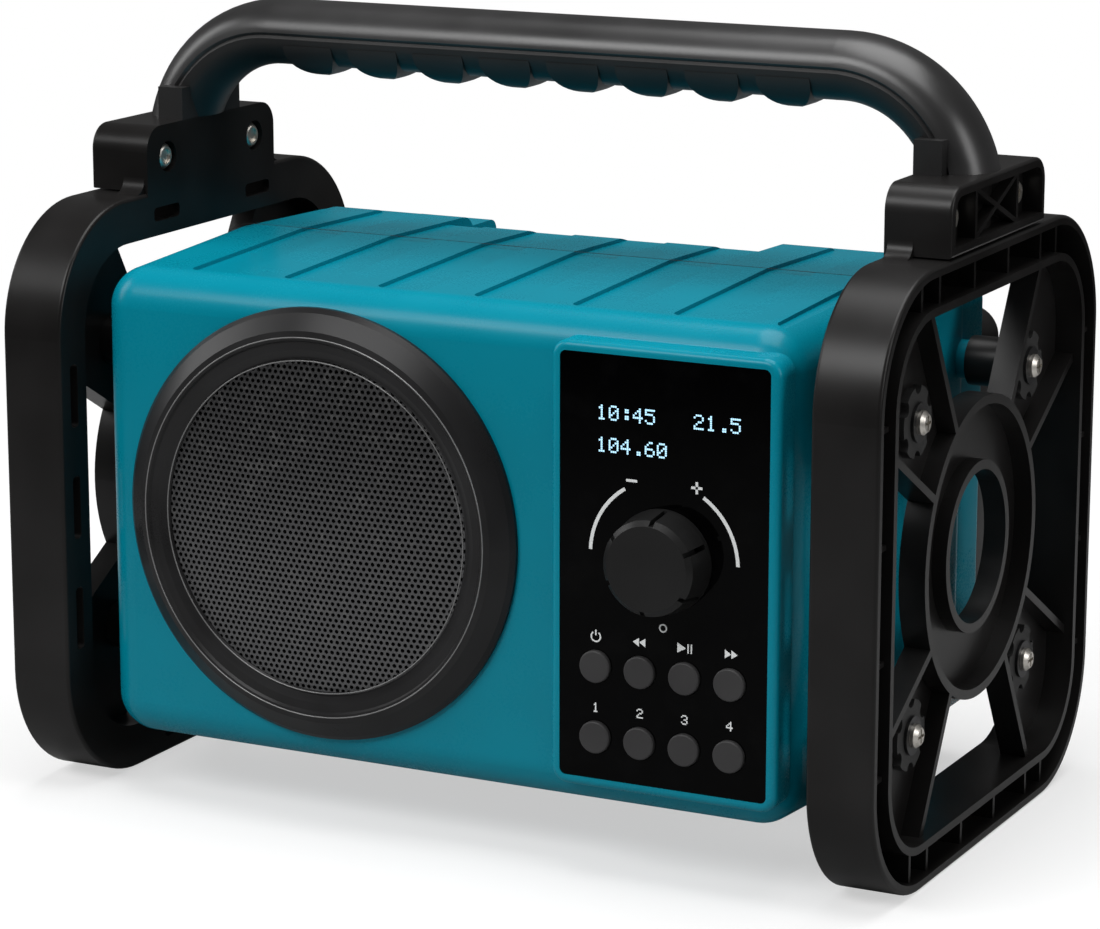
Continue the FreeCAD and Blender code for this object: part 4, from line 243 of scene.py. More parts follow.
@dataclass(frozen=True)
class Moulded:
    """Injection-moulded plastic or rubber: fine spark-eroded grain, patchy sheen and rubbed scuffs."""

    colour: Colour
    worn: Colour
    roughness: float
    grain: float = 0.5 * MM
    relief: float = 0.02 * MM
    depth: float = 0.35
    scuffs: float = 0.25
    specular: float = 0.5

    def build(self, name: str) -> bpy.types.Material:
        """Makes the material.

        Args:
            name: the material's name.

        Returns:
            A material whose colour and roughness follow large soft patches and thin scuffs.
        """
        g = Graph(bpy.data.materials.new(name))
        patches = g.noise(38 * MM, 2.0)
        grain = g.noise(self.grain, 2.0, 0.6)
        streaks = g.noise(1.0, 4.0, 0.7, g.stretched((160.0, 420.0, 900.0)))
        rubbed = g.noise(16 * MM, 4.0, 0.65).ramp(0.56, 0.74)
        scuff = streaks.ramp(0.60, 0.72) * rubbed * self.scuffs
        colour = g.blend(scuff, g.blend(patches.ramp(0.3, 0.7, 0.0, 0.35), self.colour, self.worn),
                         self.worn)
        rough = self.roughness + (patches - 0.5) * 0.14 + (grain - 0.5) * 0.08 + scuff * 0.2
        return g.finish(Base_Color=colour, Roughness=rough, Normal=g.bump(grain, self.depth, self.relief),
                        Specular_IOR_Level=self.specular)


@dataclass(frozen=True)
class Lacquered:
    """Glossy plastic or glass: deep colour, a hard coat, and faint wipe marks in the gloss."""

    colour: Colour
    roughness: float
    coat: float
    smudge: float = 0.12
    specular: float = 0.5

    def build(self, name: str) -> bpy.types.Material:
        """Makes the material.

        Args:
            name: the material's name.

        Returns:
            A material whose roughness carries smudges and hairlines.
        """
        g = Graph(bpy.data.materials.new(name))
        smudge = g.noise(13 * MM, 4.0, 0.6).ramp(0.45, 0.72)
        hair = g.noise(1.0, 3.0, 0.5, g.stretched((240.0, 240.0, 2600.0))).ramp(0.62, 0.70)
        dust = g.noise(0.45 * MM, 1.0).ramp(0.76, 0.84)
        lighter = tuple(min(1.0, 1.3 * c + 0.004) for c in self.colour)
        colour = g.blend(dust * 0.5 + smudge * 0.2, self.colour, lighter)
        rough = self.roughness + smudge * self.smudge + hair * 0.06 + dust * 0.15
        wave = g.noise(42 * MM, 1.0)
        return g.finish(Base_Color=colour, Roughness=rough, Coat_Weight=self.coat, Coat_Roughness=0.04,
                        Normal=g.bump(wave, 0.25, 0.12 * MM), Specular_IOR_Level=self.specular)


@dataclass(frozen=True)
class Metal:
    """Plated or oxided metal with turning marks, spots of tarnish and a little grime."""

    colour: Colour
    tarnish: Colour
    roughness: float
    metallic: float = 1.0
    lines: float = 0.25 * MM

    def build(self, name: str) -> bpy.types.Material:
        """Makes the material.

        Args:
            name: the material's name.

        Returns:
            A metal whose colour and roughness follow tarnish and fine lines.
        """
        g = Graph(bpy.data.materials.new(name))
        spots = g.noise(3.5 * MM, 4.0, 0.65).ramp(0.5, 0.75)
        marks = g.noise(self.lines, 3.0, 0.6)
        grime = g.noise(0.9 * MM, 3.0).ramp(0.62, 0.8)
        colour = g.blend(spots * 0.6 + grime * 0.3, self.colour, self.tarnish)
        rough = self.roughness + spots * 0.14 + (marks - 0.5) * 0.12 + grime * 0.12
        return g.finish(Base_Color=colour, Roughness=rough, Metallic=self.metallic - grime * 0.2,
                        Normal=g.bump(marks, 0.2, 0.01 * MM))


@dataclass(frozen=True)
class Board:
    """Green lacquered circuit board with copper tracks and dull solder dots."""

    lacquer: Colour = (0.012, 0.11, 0.045)
    track: Colour = (0.03, 0.21, 0.085)
    solder: Colour = (0.55, 0.56, 0.57)
    pitch: float = 2.54 * MM

    def build(self, name: str) -> bpy.types.Material:
        """Makes the material.

        Args:
            name: the material's name.

        Returns:
            A board whose tracks are the edges of square cells and whose solder sits near cell centres.
        """
        g = Graph(bpy.data.materials.new(name))
        settings = {"distance": "CHEBYCHEV", "feature": "F1"}
        wide = {"Vector": g.place, "Scale": 1.0 / (3 * self.pitch), "Randomness": 0.6}
        fine = {"Vector": g.place, "Scale": 1.0 / self.pitch, "Randomness": 0.15}
        cells = g.add(Kind.VORONOI, settings, wide, "Distance")
        tracks = cells.ramp(0.36, 0.40) * cells.ramp(0.46, 0.50, 1.0, 0.0)
        dots = g.add(Kind.VORONOI, {}, fine, "Distance")
        pads = dots.ramp(0.14, 0.18, 1.0, 0.0)
        colour = g.blend(pads, g.blend(tracks, self.lacquer, self.track), self.solder)
        return g.finish(Base_Color=colour, Roughness=0.34 + pads * 0.1 + g.noise(2 * MM) * 0.08,
                        Metallic=pads * 0.8, Normal=g.bump(tracks + pads, 0.4, 0.06 * MM))


@dataclass(frozen=True)
class Fibre:
    """Pressed paper or woven cloth: matted fibres or a fine weave."""

    colour: Colour
    lint: Colour
    weave: float = 0.0
    roughness: float = 0.9

    def build(self, name: str) -> bpy.types.Material:
        """Makes the material.

        Args:
            name: the material's name.

        Returns:
            A matt material with fibres, and a weave where its pitch isn't zero.
        """
        g = Graph(bpy.data.materials.new(name))
        fibres = g.noise(1.0, 4.0, 0.7, g.stretched((900.0, 2600.0, 1500.0)))
        height = fibres
        if self.weave > 0:
            across = g.add(Kind.WAVE, {"bands_direction": "X"},
                           {"Vector": g.place, "Scale": 0.314 / self.weave}, 1)
            along = g.add(Kind.WAVE, {"bands_direction": "Z"},
                          {"Vector": g.place, "Scale": 0.314 / self.weave}, 1)
            height = across * along + fibres * 0.3
        colour = g.blend(height.ramp(0.45, 0.85, 0.0, 0.8), self.colour, self.lint)
        return g.finish(Base_Color=colour, Roughness=self.roughness + (fibres - 0.5) * 0.12,
                        Normal=g.bump(height, 0.5, 0.08 * MM))


@dataclass(frozen=True)
class Lit:
    """A printed or lit mark with a slightly uneven edge of brightness."""

    colour: Colour
    glow: float = 0.0

    def build(self, name: str) -> bpy.types.Material:
        """Makes the material.

        Args:
            name: the material's name.

        Returns:
            A mark whose ink varies a little in density.
        """
        g = Graph(bpy.data.materials.new(name))
        ink = g.noise(0.6 * MM, 3.0).ramp(0.25, 0.8, 0.82, 1.0)
        colour = g.blend(ink, tuple(0.75 * c for c in self.colour), self.colour)
        return g.finish(Base_Color=colour, Roughness=0.45 + (ink - 0.9) * 0.5, Emission_Color=colour,
                        Emission_Strength=self.glow)


@dataclass(frozen=True)
class CellSleeve:
    """The plain printed wrap of a dry cell, with a bright band at one end."""

    body: Colour = (0.02, 0.022, 0.025)
    band: Colour = (0.62, 0.50, 0.24)
    pitch: float = 61.5 * MM

    def build(self, name: str) -> bpy.types.Material:
        """Makes the material.

        Args:
            name: the material's name.

        Returns:
            A wrap whose outer quarter is a metallic band.
        """
        g = Graph(bpy.data.materials.new(name))
        along = g.maths("ABSOLUTE", g.add(Kind.SPLIT, {}, {0: g.place}, "X"))
        band = along.ramp(0.70 * self.pitch, 0.71 * self.pitch)
        wear = g.noise(5 * MM, 4.0, 0.65).ramp(0.5, 0.8)
        return g.finish(Base_Color=g.blend(band, self.body, self.band), Metallic=band * 0.7,
                        Roughness=0.3 + wear * 0.15, Normal=g.bump(g.noise(9 * MM), 0.2, 0.1 * MM))


FINISHES: dict[str, Any] = {
    "frame_black": Moulded((0.0065, 0.0060, 0.0058), (0.020, 0.019, 0.019), 0.33,
                           grain=0.45 * MM, relief=0.012 * MM, depth=0.35, scuffs=0.2, specular=0.22),
    "handle_black": Moulded((0.012, 0.0118, 0.012), (0.034, 0.033, 0.034), 0.34,
                            grain=0.5 * MM, relief=0.014 * MM, depth=0.4, scuffs=0.2, specular=0.60),
    "grip_black": Moulded((0.010, 0.0098, 0.010), (0.03, 0.03, 0.03), 0.46,
                          grain=0.6 * MM, relief=0.03 * MM, depth=0.5, scuffs=0.2, specular=0.3),
    "teal_shell": Moulded((0.0, 0.205, 0.285), (0.0, 0.235, 0.320), 0.28,
                          grain=0.7 * MM, relief=0.006 * MM, depth=0.25, scuffs=0.12, specular=0.16),
    "panel_gloss": Lacquered((0.0006, 0.0006, 0.0007), 0.05, 0.0, smudge=0.05, specular=0.05),
    "bezel_black": Moulded((0.010, 0.0098, 0.0102), (0.030, 0.030, 0.031), 0.30,
                           grain=0.4 * MM, relief=0.008 * MM, depth=0.3, scuffs=0.15, specular=0.2),
    # light grey bead finish, far lighter than the bezel: a painted highlight along the ring's ridge and lip
    "bezel_bead_painted_highlight": Moulded((0.12, 0.12, 0.12), (0.20, 0.20, 0.20), 0.22,
                          grain=0.4 * MM, relief=0.004 * MM, depth=0.2, scuffs=0.15, specular=0.8),
    "knob_black": Moulded((0.0055, 0.0054, 0.0055), (0.02, 0.02, 0.02), 0.34,
                          grain=0.35 * MM, relief=0.008 * MM, depth=0.3, scuffs=0.2, specular=0.22),
    "button_grey": Moulded((0.034, 0.033, 0.034), (0.06, 0.06, 0.06), 0.44,
                           grain=0.35 * MM, relief=0.01 * MM, depth=0.35, scuffs=0.2, specular=0.2),
    "black_plastic": Moulded((0.013, 0.013, 0.0135), (0.03, 0.03, 0.03), 0.45),
    "black_rubber": Moulded((0.011, 0.0108, 0.0108), (0.03, 0.03, 0.03), 0.6,
                            grain=0.5 * MM, relief=0.03 * MM, depth=0.5),
    "bright_steel": Metal((0.66, 0.63, 0.58), (0.36, 0.33, 0.29), 0.38),
    "black_steel": Metal((0.035, 0.035, 0.037), (0.09, 0.08, 0.075), 0.38, metallic=0.85),
    "grille_steel": Metal((0.11, 0.11, 0.113), (0.18, 0.178, 0.175), 0.34, metallic=0.85, lines=0.3 * MM),
    "circuit_board": Board(),
    "display_glass": Lacquered((0.0022, 0.0024, 0.003), 0.06, 0.4, smudge=0.05),
    "brass_pillar": Metal((0.72, 0.52, 0.22), (0.36, 0.25, 0.11), 0.28),
    "paper_cone": Fibre((0.010, 0.010, 0.0105), (0.035, 0.034, 0.033)),
    "ferrite": Metal((0.05, 0.05, 0.054), (0.10, 0.095, 0.09), 0.6, metallic=0.3, lines=0.6 * MM),
    "cell_can": CellSleeve(),
    "grille_cloth": Fibre((0.003, 0.003, 0.003), (0.010, 0.010, 0.010), weave=0.5 * MM),
    "panel_ink": Lit((0.78, 0.80, 0.80), glow=0.0),
    "display_lit": Lit((0.42, 0.72, 0.92), glow=0.9),
}


class Palette:
    """Makes each finish once and hands it out."""

    def __init__(self) -> None:
        """Starts with no materials."""
        self.made: dict[str, bpy.types.Material] = {}

    def get(self, name: str) -> bpy.types.Material:
        """The material of this name, made on first use."""
        if name not in self.made:
            self.made[name] = FINISHES[name].build(name)
        return self.made[name]


def mesh_object(name: str, points: np.ndarray, faces: np.ndarray, smooth: bool = True) -> bpy.types.Object:
    """Puts a computed surface into the scene.

    Args:
        name: the piece's name.
        points: one row of x, y, z for each vertex, in metres.
        faces: one row of vertex indices for each face.
        smooth: whether its faces shade as one curved surface.

    Returns:
        The object, at the origin.
    """
    mesh = bpy.data.meshes.new(name)
    mesh.vertices.add(len(points))
    mesh.vertices.foreach_set("co", np.ascontiguousarray(points, np.float32).ravel())
    count, corners = faces.shape
    mesh.loops.add(count * corners)
    mesh.loops.foreach_set("vertex_index", np.ascontiguousarray(faces, np.int32).ravel())
    mesh.polygons.add(count)
    mesh.polygons.foreach_set("loop_start", np.arange(0, count * corners, corners, dtype=np.int32))
    mesh.polygons.foreach_set("use_smooth", np.full(count, smooth))
    mesh.update(calc_edges=True)
    mesh.validate()
    piece = bpy.data.objects.new(name, mesh)
    bpy.context.scene.collection.objects.link(piece)
    return piece


def grid_faces(rows: int, columns: int, wrap: bool) -> np.ndarray:
    """Quads over a grid of points.

    Args:
        rows: the number of points along the first parameter.
        columns: the number of points along the second parameter.
        wrap: whether the second parameter closes on itself.

    Returns:
        One row of four indices for each quad.
    """
    i, j = np.meshgrid(np.arange(rows - 1), np.arange(columns if wrap else columns - 1), indexing="ij")
    following = (j + 1) % columns
    quads = (i * columns + j, i * columns + following, (i + 1) * columns + following,
             (i + 1) * columns + j)
    return np.stack(quads, axis=-1).reshape(-1, 4)


def turned(name: str, radii: np.ndarray, depths: np.ndarray, centre: Vector,
           turns: int = 128) -> bpy.types.Object:
    """A closed profile turned about an axis along Y.

    Each point is the centre plus the radius times (cos a, 0, sin a), at its own depth along Y,
    for the angle a running once round.

    Args:
        name: the piece's name.
        radii: the profile's radii, first and last at the same point.
        depths: the profile's Y values.
        centre: a point on the axis.
        turns: the number of steps round the axis.

    Returns:
        The object.
    """
    angle = np.linspace(0.0, 2.0 * np.pi, turns, endpoint=False)
    x = centre.x + radii[:, None] * np.cos(angle)
    z = centre.z + radii[:, None] * np.sin(angle)
    y = np.broadcast_to(depths[:, None], x.shape)
    points = np.stack((x, y, z), axis=-1).reshape(-1, 3)
    return mesh_object(name, points, grid_faces(len(radii), turns, True))


def ribbon(name: str, inner: np.ndarray, outer: np.ndarray, front: float, thick: float,
           closed: bool = False) -> bpy.types.Object:
    """A flat raised band between two lines of points in the XZ plane.

    The section at each step is a rectangle from the inner point to the outer point, thick deep along Y.

    Args:
        name: the piece's name.
        inner: rows of x, z along one side.
        outer: rows of x, z along the other side.
        front: the Y of its front face.
        thick: its depth behind the front face.
        closed: whether its last step joins its first.

    Returns:
        The object.
    """
    sides = np.stack((inner, outer, outer, inner), axis=1)
    y = np.array((front, front, front + thick, front + thick))
    points = np.stack((sides[..., 0], np.broadcast_to(y, sides.shape[:2]), sides[..., 1]), axis=-1)
    rows = len(inner)
    if closed:
        points = np.concatenate((points, points[:1]))
        rows += 1
    faces = grid_faces(rows, 4, True)
    if not closed:
        last = 4 * (rows - 1)
        ends = np.array(((3, 2, 1, 0), (last, last + 1, last + 2, last + 3)))
        faces = np.concatenate((faces, ends))
    piece = mesh_object(name, points.reshape(-1, 3), faces, smooth=False)
    return outward(piece)


def outward(piece: bpy.types.Object) -> bpy.types.Object:
    """Turns a closed piece's faces outward where its signed volume is negative.

    Args:
        piece: the closed piece.

    Returns:
        The same piece.
    """
    mesh = piece.data
    mesh.calc_loop_triangles()
    corners = np.empty(len(mesh.loop_triangles) * 3, np.int32)
    mesh.loop_triangles.foreach_get("vertices", corners)
    points = np.empty(len(mesh.vertices) * 3, np.float32)
    mesh.vertices.foreach_get("co", points)
    tri = points.reshape(-1, 3)[corners.reshape(-1, 3)]
    tri = tri - tri.reshape(-1, 3).mean(axis=0)
    if np.einsum("ij,ij->i", tri[:, 0], np.cross(tri[:, 1], tri[:, 2])).sum() < 0:
        mesh.flip_normals()
    return piece


@dataclass
class Grille:
    """The crowned sheet with its field of round holes, and the cloth behind it."""

    pitch: float = 2.05 * MM
    hole: float = 0.66 * MM
    sheet: float = 0.8 * MM
    crown: float = 3.4 * MM
    cloth_gap: float = 0.7 * MM
    edge: float = 0.9 * MM
    sides: int = 12

    def place(self) -> tuple[Vector, float, float]:
        """The centre on the axis, the outer radius and the Y of the crown's top."""
        low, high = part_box("speaker_grille")
        centre = (low + high) / 2.0
        return centre, (high.x - low.x) / 2.0, low.y

    def depth(self, x: np.ndarray, z: np.ndarray, radius: float) -> np.ndarray:
        """How far the sheet falls behind the crown's top, as the square of the distance from the axis."""
        return self.crown * (x * x + z * z) / (radius * radius)

    def centres(self, radius: float) -> np.ndarray:
        """Hole centres on a triangular lattice, inside a circle.

        Args:
            radius: the sheet's radius.

        Returns:
            One row of x, z from the axis for each hole.
        """
        count = int(2 * radius / self.pitch)
        i, j = np.meshgrid(np.arange(-count, count + 1), np.arange(-count, count + 1), indexing="ij")
        x = (i + 0.5 * (j % 2)) * self.pitch
        z = j * self.pitch * math.sqrt(0.75)
        inside = np.hypot(x, z) < radius - self.edge
        return np.stack((x[inside], z[inside]), axis=-1)

    def build(self) -> list[bpy.types.Object]:
        """Builds the sheet and the cloth.

        Each cell is three rings set on the crown: the hole's circle at the sheet's back, the same circle
        at its front, and the cell's hexagon at its front. The cloth is the same crown set back by the gap.

        Returns:
            The sheet and the cloth.
        """
        centre, radius, top = self.place()
        cells = self.centres(radius)
        angle = np.linspace(0.0, 2.0 * np.pi, self.sides, endpoint=False)
        reach = np.where(np.arange(self.sides) % 2 == 1, self.pitch / math.sqrt(3.0), self.pitch / 2.0)
        rim = np.full(self.sides, self.hole)
        rings = np.stack((rim, rim, reach))
        x = cells[:, 0, None, None] + rings * np.cos(angle)
        z = cells[:, 1, None, None] + rings * np.sin(angle)
        back = np.array((self.sheet, 0.0, 0.0))[None, :, None]
        y = top + self.depth(x, z, radius) + back
        points = np.stack((centre.x + x, y, centre.z + z), axis=-1).reshape(-1, 3)
        one = grid_faces(3, self.sides, True)
        start = np.arange(len(cells))[:, None, None] * (3 * self.sides)
        faces = (one[None] + start).reshape(-1, 4)
        sheet = mesh_object("grille_sheet", points, faces, smooth=False)
        return [sheet, self.cloth(centre, radius, top)]

    def cloth(self, centre: Vector, radius: float, top: float) -> bpy.types.Object:
        """The black cloth, a thin closed lens behind the sheet.

        Args:
            centre: a point on the axis.
            radius: the sheet's radius.
            top: the Y of the crown's top.

        Returns:
            The cloth.
        """
        reach = np.linspace(0.0, radius - self.edge, 24)
        front = top + self.sheet + self.cloth_gap + self.depth(reach, 0.0 * reach, radius)
        radii = np.concatenate((reach, reach[::-1]))
        depths = np.concatenate((front, front[::-1] + 0.25 * MM))
        return turned("grille_cloth", radii, depths, centre, 96)

    def dress(self, palette: Palette) -> None:
        """Builds the pieces and gives them their finishes."""
        sheet, cloth = self.build()
        add_piece(sheet, "radio", palette.get("grille_steel"))
        add_piece(cloth, "radio", palette.get("grille_cloth"))
        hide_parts("speaker_grille")


def add_piece(piece: bpy.types.Object, body: str, material: bpy.types.Material) -> None:
    """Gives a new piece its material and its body."""
    piece.data.materials.append(material)
    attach(piece, body)


@dataclass
class BezelHighlightBeads:
    """The two fine rounded beads on the loudspeaker's ring, which catch the light, finished light grey as a
    painted highlight along its ridge and lip.
    """

    wire: float = 0.22 * MM
    ridge_inset: float = 8.5 * MM
    lip_inset: float = 15.9 * MM
    lip_drop: float = 1.3 * MM

    def bead(self, name: str, centre: Vector, radius: float, depth: float) -> bpy.types.Object:
        """One bead, a small circle turned about the loudspeaker's axis at a radius and a depth."""
        angle = np.linspace(0.0, 2.0 * np.pi, 13)
        return turned(name, radius + self.wire * np.cos(angle), depth + self.wire * np.sin(angle), centre,
                      160)

    def dress(self, palette: Palette) -> None:
        """Builds the beads and gives them their light grey finish, a painted highlight."""
        low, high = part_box("speaker_bezel")
        centre, outer = (low + high) / 2.0, (high.x - low.x) / 2.0
        places = (("bezel_ridge_highlight_bead", outer - self.ridge_inset, low.y),
                  ("bezel_lip_highlight_bead", outer - self.lip_inset, low.y + self.lip_drop))
        for name, radius, depth in places:
            # each bead is light grey: a painted highlight line on the ring
            add_piece(self.bead(name, centre, radius, depth), "radio",
                      palette.get("bezel_bead_painted_highlight"))


GLYPHS = {
    "0": ("01110", "10001", "10011", "10101", "11001", "10001", "01110"),
    "1": ("00100", "01100", "00100", "00100", "00100", "00100", "01110"),
    "2": ("01110", "10001", "00001", "00110", "01000", "10000", "11111"),
    "3": ("01110", "10001", "00001", "00110", "00001", "10001", "01110"),
    "4": ("00010", "00110", "01010", "10010", "11111", "00010", "00010"),
    "5": ("11111", "10000", "11110", "00001", "00001", "10001", "01110"),
    "6": ("00110", "01000", "10000", "11110", "10001", "10001", "01110"),
    "7": ("11111", "00001", "00010", "00100", "01000", "01000", "01000"),
    "8": ("01110", "10001", "10001", "01110", "10001", "10001", "01110"),
    "9": ("01110", "10001", "10001", "01111", "00001", "00010", "01100"),
    ".": ("00000", "00000", "00000", "00000", "00000", "00110", "00110"),
    ":": ("00000", "00110", "00110", "00000", "00110", "00110", "00000"),
    " ": ("00000",) * 7,
}


@dataclass
class DotText:
    """Plain numbers made of square dots, as a dot-matrix display shows them."""

    name: str
    text: str
    left: float
    base: float
    dot: float
    fill: float = 0.82

    def build(self, front: float, thick: float) -> bpy.types.Object:
        """Builds one small slab for each lit dot.

        Args:
            front: the Y of the dots' faces.
            thick: their depth.

        Returns:
            The dots as one object.
        """
        rows = np.array([list("".join(GLYPHS[c][r] + "0" for c in self.text)) for r in range(7)]) == "1"
        row, column = np.nonzero(rows)
        half = 0.5 * self.dot * self.fill
        x = self.left + (column + 0.5) * self.dot
        z = self.base + (6.5 - row) * self.dot
        square = np.array(((-1, 0, -1), (1, 0, -1), (1, 0, 1), (-1, 0, 1)))
        shape = np.concatenate((square, square + (0, 1, 0))) * np.array((half, thick, half))
        at = np.stack((x, np.full(len(x), front), z), axis=-1)
        points = (at[:, None] + shape[None]).reshape(-1, 3)
        ends = ((0, 1, 2, 3), (4, 7, 6, 5))
        walls = ((0, 4, 5, 1), (1, 5, 6, 2), (2, 6, 7, 3), (3, 7, 4, 0))
        sides = np.array(ends + walls)
        faces = (sides[None] + 8 * np.arange(len(x))[:, None, None]).reshape(-1, 4)
        return mesh_object(self.name, points, faces, smooth=False)


@dataclass
class Panel:
    """The glossy panel's printed signs, level arcs and display numbers."""

    ink_thick: float = 0.06 * MM
    ink_sink: float = 0.02 * MM
    arc_radius: float = 24.0 * MM
    arc_width: float = 1.1 * MM
    arc_angles: tuple[float, float] = (2.0, 58.0)
    sign_rise: float = 0.96
    sign_side: float = 0.44
    press_drop: float = 0.86
    press_radius: float = 1.1 * MM
    sign_width: float = 0.8 * MM
    sign: float = 3.6 * MM
    symbol: float = 1.9 * MM
    symbol_rise: float = 9.2 * MM
    stroke: float = 0.45 * MM
    number_dot: float = 0.42 * MM
    display_dots: float = 66.0
    display_margin: float = 6.0
    display_fill: float = 0.80

    def face(self) -> float:
        """The Y of the printed marks' own faces, a hair in front of the panel."""
        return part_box("panel_window")[0].y - self.ink_thick

    def ink_deep(self) -> float:
        """The marks' whole depth, with what is sunk in the panel."""
        return self.ink_thick + self.ink_sink

    def middle(self, node: str) -> Vector:
        """The middle of a node's box."""
        low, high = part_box(node)
        return (low + high) / 2.0

    def arc(self, name: str, centre: tuple[float, float], radius: float, start: float, end: float,
            width: float) -> bpy.types.Object:
        """A curved band about a point: its sides are arcs half a width inside and outside its radius.

        Args:
            name: the piece's name.
            centre: its centre as x, z.
            radius: its middle radius.
            start: its first angle in degrees from +X towards +Z.
            end: its last angle.
            width: its width.

        Returns:
            The band.
        """
        closed = abs(end - start) >= 360.0
        angle = np.radians(np.linspace(start, end, 49)[: -1 if closed else None])
        line = np.stack((np.cos(angle), np.sin(angle)), axis=-1)
        middle = np.array(centre)
        inner = middle + line * (radius - 0.5 * width)
        outer = middle + line * (radius + 0.5 * width)
        return ribbon(name, inner, outer, self.face(), self.ink_deep(), closed)

    def bar(self, name: str, start: tuple[float, float], end: tuple[float, float],
            width: Union[float, tuple[float, float]]) -> bpy.types.Object:
        """A straight band, square to the line between its ends.

        Args:
            name: the piece's name.
            start: its first end as x, z.
            end: its last end.
            width: its width, or its widths at both ends.

        Returns:
            The band.
        """
        a, b = np.array(start), np.array(end)
        along = (b - a) / np.linalg.norm(b - a)
        across = np.array((-along[1], along[0]))
        first, last = (width, width) if isinstance(width, float) else width
        half = 0.5 * np.array(((first,), (last,)))
        line = np.stack((a, b))
        return ribbon(name, line - across * half, line + across * half, self.face(), self.ink_deep())

    def symbols(self) -> list[bpy.types.Object]:
        """Signs over the buttons: power, back, play and pause, forward, and the numbers 1 to 4.

        Returns:
            The signs, each centred over its button.
        """
        pieces = []
        s, w = self.symbol, self.stroke
        for index in range(1, 9):
            at = self.middle(f"button_{index}")
            x, z = at.x, at.z + self.symbol_rise
            name = f"mark_{index}"
            if index > 4:
                dot = self.number_dot
                text = DotText(name, str(index - 4), x - 2.5 * dot, z - 3.5 * dot, dot, 1.0)
                pieces.append(text.build(self.face(), self.ink_deep()))
            elif index == 1:
                pieces.append(self.arc(f"{name}_ring", (x, z), s * 0.8, 125.0, 415.0, w))
                pieces.append(self.bar(f"{name}_bar", (x, z + 0.2 * s), (x, z + 1.1 * s), w))
            elif index == 3:
                pieces.append(self.bar(f"{name}_play", (x - 1.3 * s, z), (x + 0.1 * s, z),
                                       (1.6 * s, 0.12 * s)))
                for letter, at_x in (("a", x + 0.55 * s), ("b", x + 1.1 * s)):
                    ends = ((at_x, z - 0.75 * s), (at_x, z + 0.75 * s))
                    pieces.append(self.bar(f"{name}_pause_{letter}", *ends, w))
            else:
                way = -s if index == 2 else s
                for letter, start in (("a", x - 0.9 * way), ("b", x + 0.2 * way)):
                    ends = ((start, z), (start + way, z))
                    pieces.append(self.bar(f"{name}_arrow_{letter}", *ends, (1.4 * s, 0.1 * s)))
        return pieces

    def build(self) -> list[bpy.types.Object]:
        """Builds the knob's level arcs with minus and plus signs, and the button signs.

        Returns:
            The printed marks.
        """
        knob = self.middle("control_knob")
        centre = (knob.x, knob.z)
        radius = self.arc_radius
        top = knob.z + self.sign_rise * radius
        side = self.sign_side * radius
        reach = self.sign / 2.0
        low, high = knob.x - side, knob.x + side
        press = (knob.x, knob.z - self.press_drop * radius)
        first, last = self.arc_angles
        pieces = [
            self.arc("level_arc_left", centre, radius, 180.0 - first, 180.0 - last, self.arc_width),
            self.arc("level_arc_right", centre, radius, first, last, self.arc_width),
            self.bar("minus_sign", (low - reach, top), (low + reach, top), self.sign_width),
            self.bar("plus_sign_a", (high - reach, top), (high + reach, top), self.sign_width),
            self.bar("plus_sign_b", (high, top - reach), (high, top + reach), self.sign_width),
            self.arc("press_mark", press, self.press_radius, 0.0, 360.0, self.stroke),
        ]
        return pieces + self.symbols()

    def display(self) -> list[bpy.types.Object]:
        """Builds the display's two lines of plain numbers.

        Returns:
            The two lines.
        """
        low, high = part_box("display_module")
        dot = (high.x - low.x) / self.display_dots
        left = low.x + self.display_margin * dot
        lines = (("display_line_1", "10:45   21.5", high.z - 11.0 * dot),
                 ("display_line_2", "104.60", low.z + 4.0 * dot))
        return [DotText(name, text, left, base, dot * self.display_fill).build(self.face(), self.ink_deep())
                for name, text, base in lines]

    def dress(self, palette: Palette) -> None:
        """Builds the marks and gives them their finishes."""
        for piece in self.build():
            add_piece(piece, "radio", palette.get("panel_ink"))
        for piece in self.display():
            add_piece(piece, "radio", palette.get("display_lit"))


@dataclass
class SeamLine:
    """The fine dark shadow line where the two shells meet, round the outside of the body."""

    width: float = 0.35 * MM
    sink: float = 0.06 * MM
    corner: float = 13.0 * MM
    steps: int = 12

    def build(self) -> bpy.types.Object:
        """Builds the line.

        Its path is a rectangle with four corner arcs round the rear shell's front edge; its section is
        a flat rectangle as wide as the gap, standing a hair above the shells.

        Returns:
            The line as a closed band.
        """
        low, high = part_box("rear_shell")
        turn = np.linspace(0.0, 0.5 * np.pi, self.steps)
        angle = np.concatenate([turn + 0.5 * np.pi * k for k in range(4)])
        side = np.repeat(np.array(((1, 1), (-1, 1), (-1, -1), (1, -1))), self.steps, axis=0)
        half = np.array(((high.x - low.x) / 2.0, (high.z - low.z) / 2.0))
        centre = np.array(((high.x + low.x) / 2.0, (high.z + low.z) / 2.0))
        line = np.stack((np.cos(angle), np.sin(angle)), axis=-1)
        corner = centre + side * (half - self.corner)
        inner = corner + line * (self.corner - self.sink)
        outer = corner + line * (self.corner + self.sink)
        return ribbon("shell_seam_line", inner, outer, low.y - 0.5 * self.width, self.width, True)

    def dress(self, palette: Palette) -> None:
        """Builds the line and gives it its finish."""
        add_piece(self.build(), "radio", palette.get("black_rubber"))


@dataclass
class Solids:
    """The solids themselves, each in the finish of its slot."""

    def dress(self, palette: Palette) -> None:
        """Puts each node's finish in its material slots."""
        slots = {row["node"]: row["material_slot"] for row in frame["record"]["subparts"]}
        for name, node in frame["nodes"].items():
            node.data.materials.clear()
            node.data.materials.append(palette.get(slots[name]))
            log.info("dressed %s in %s", name, slots[name])


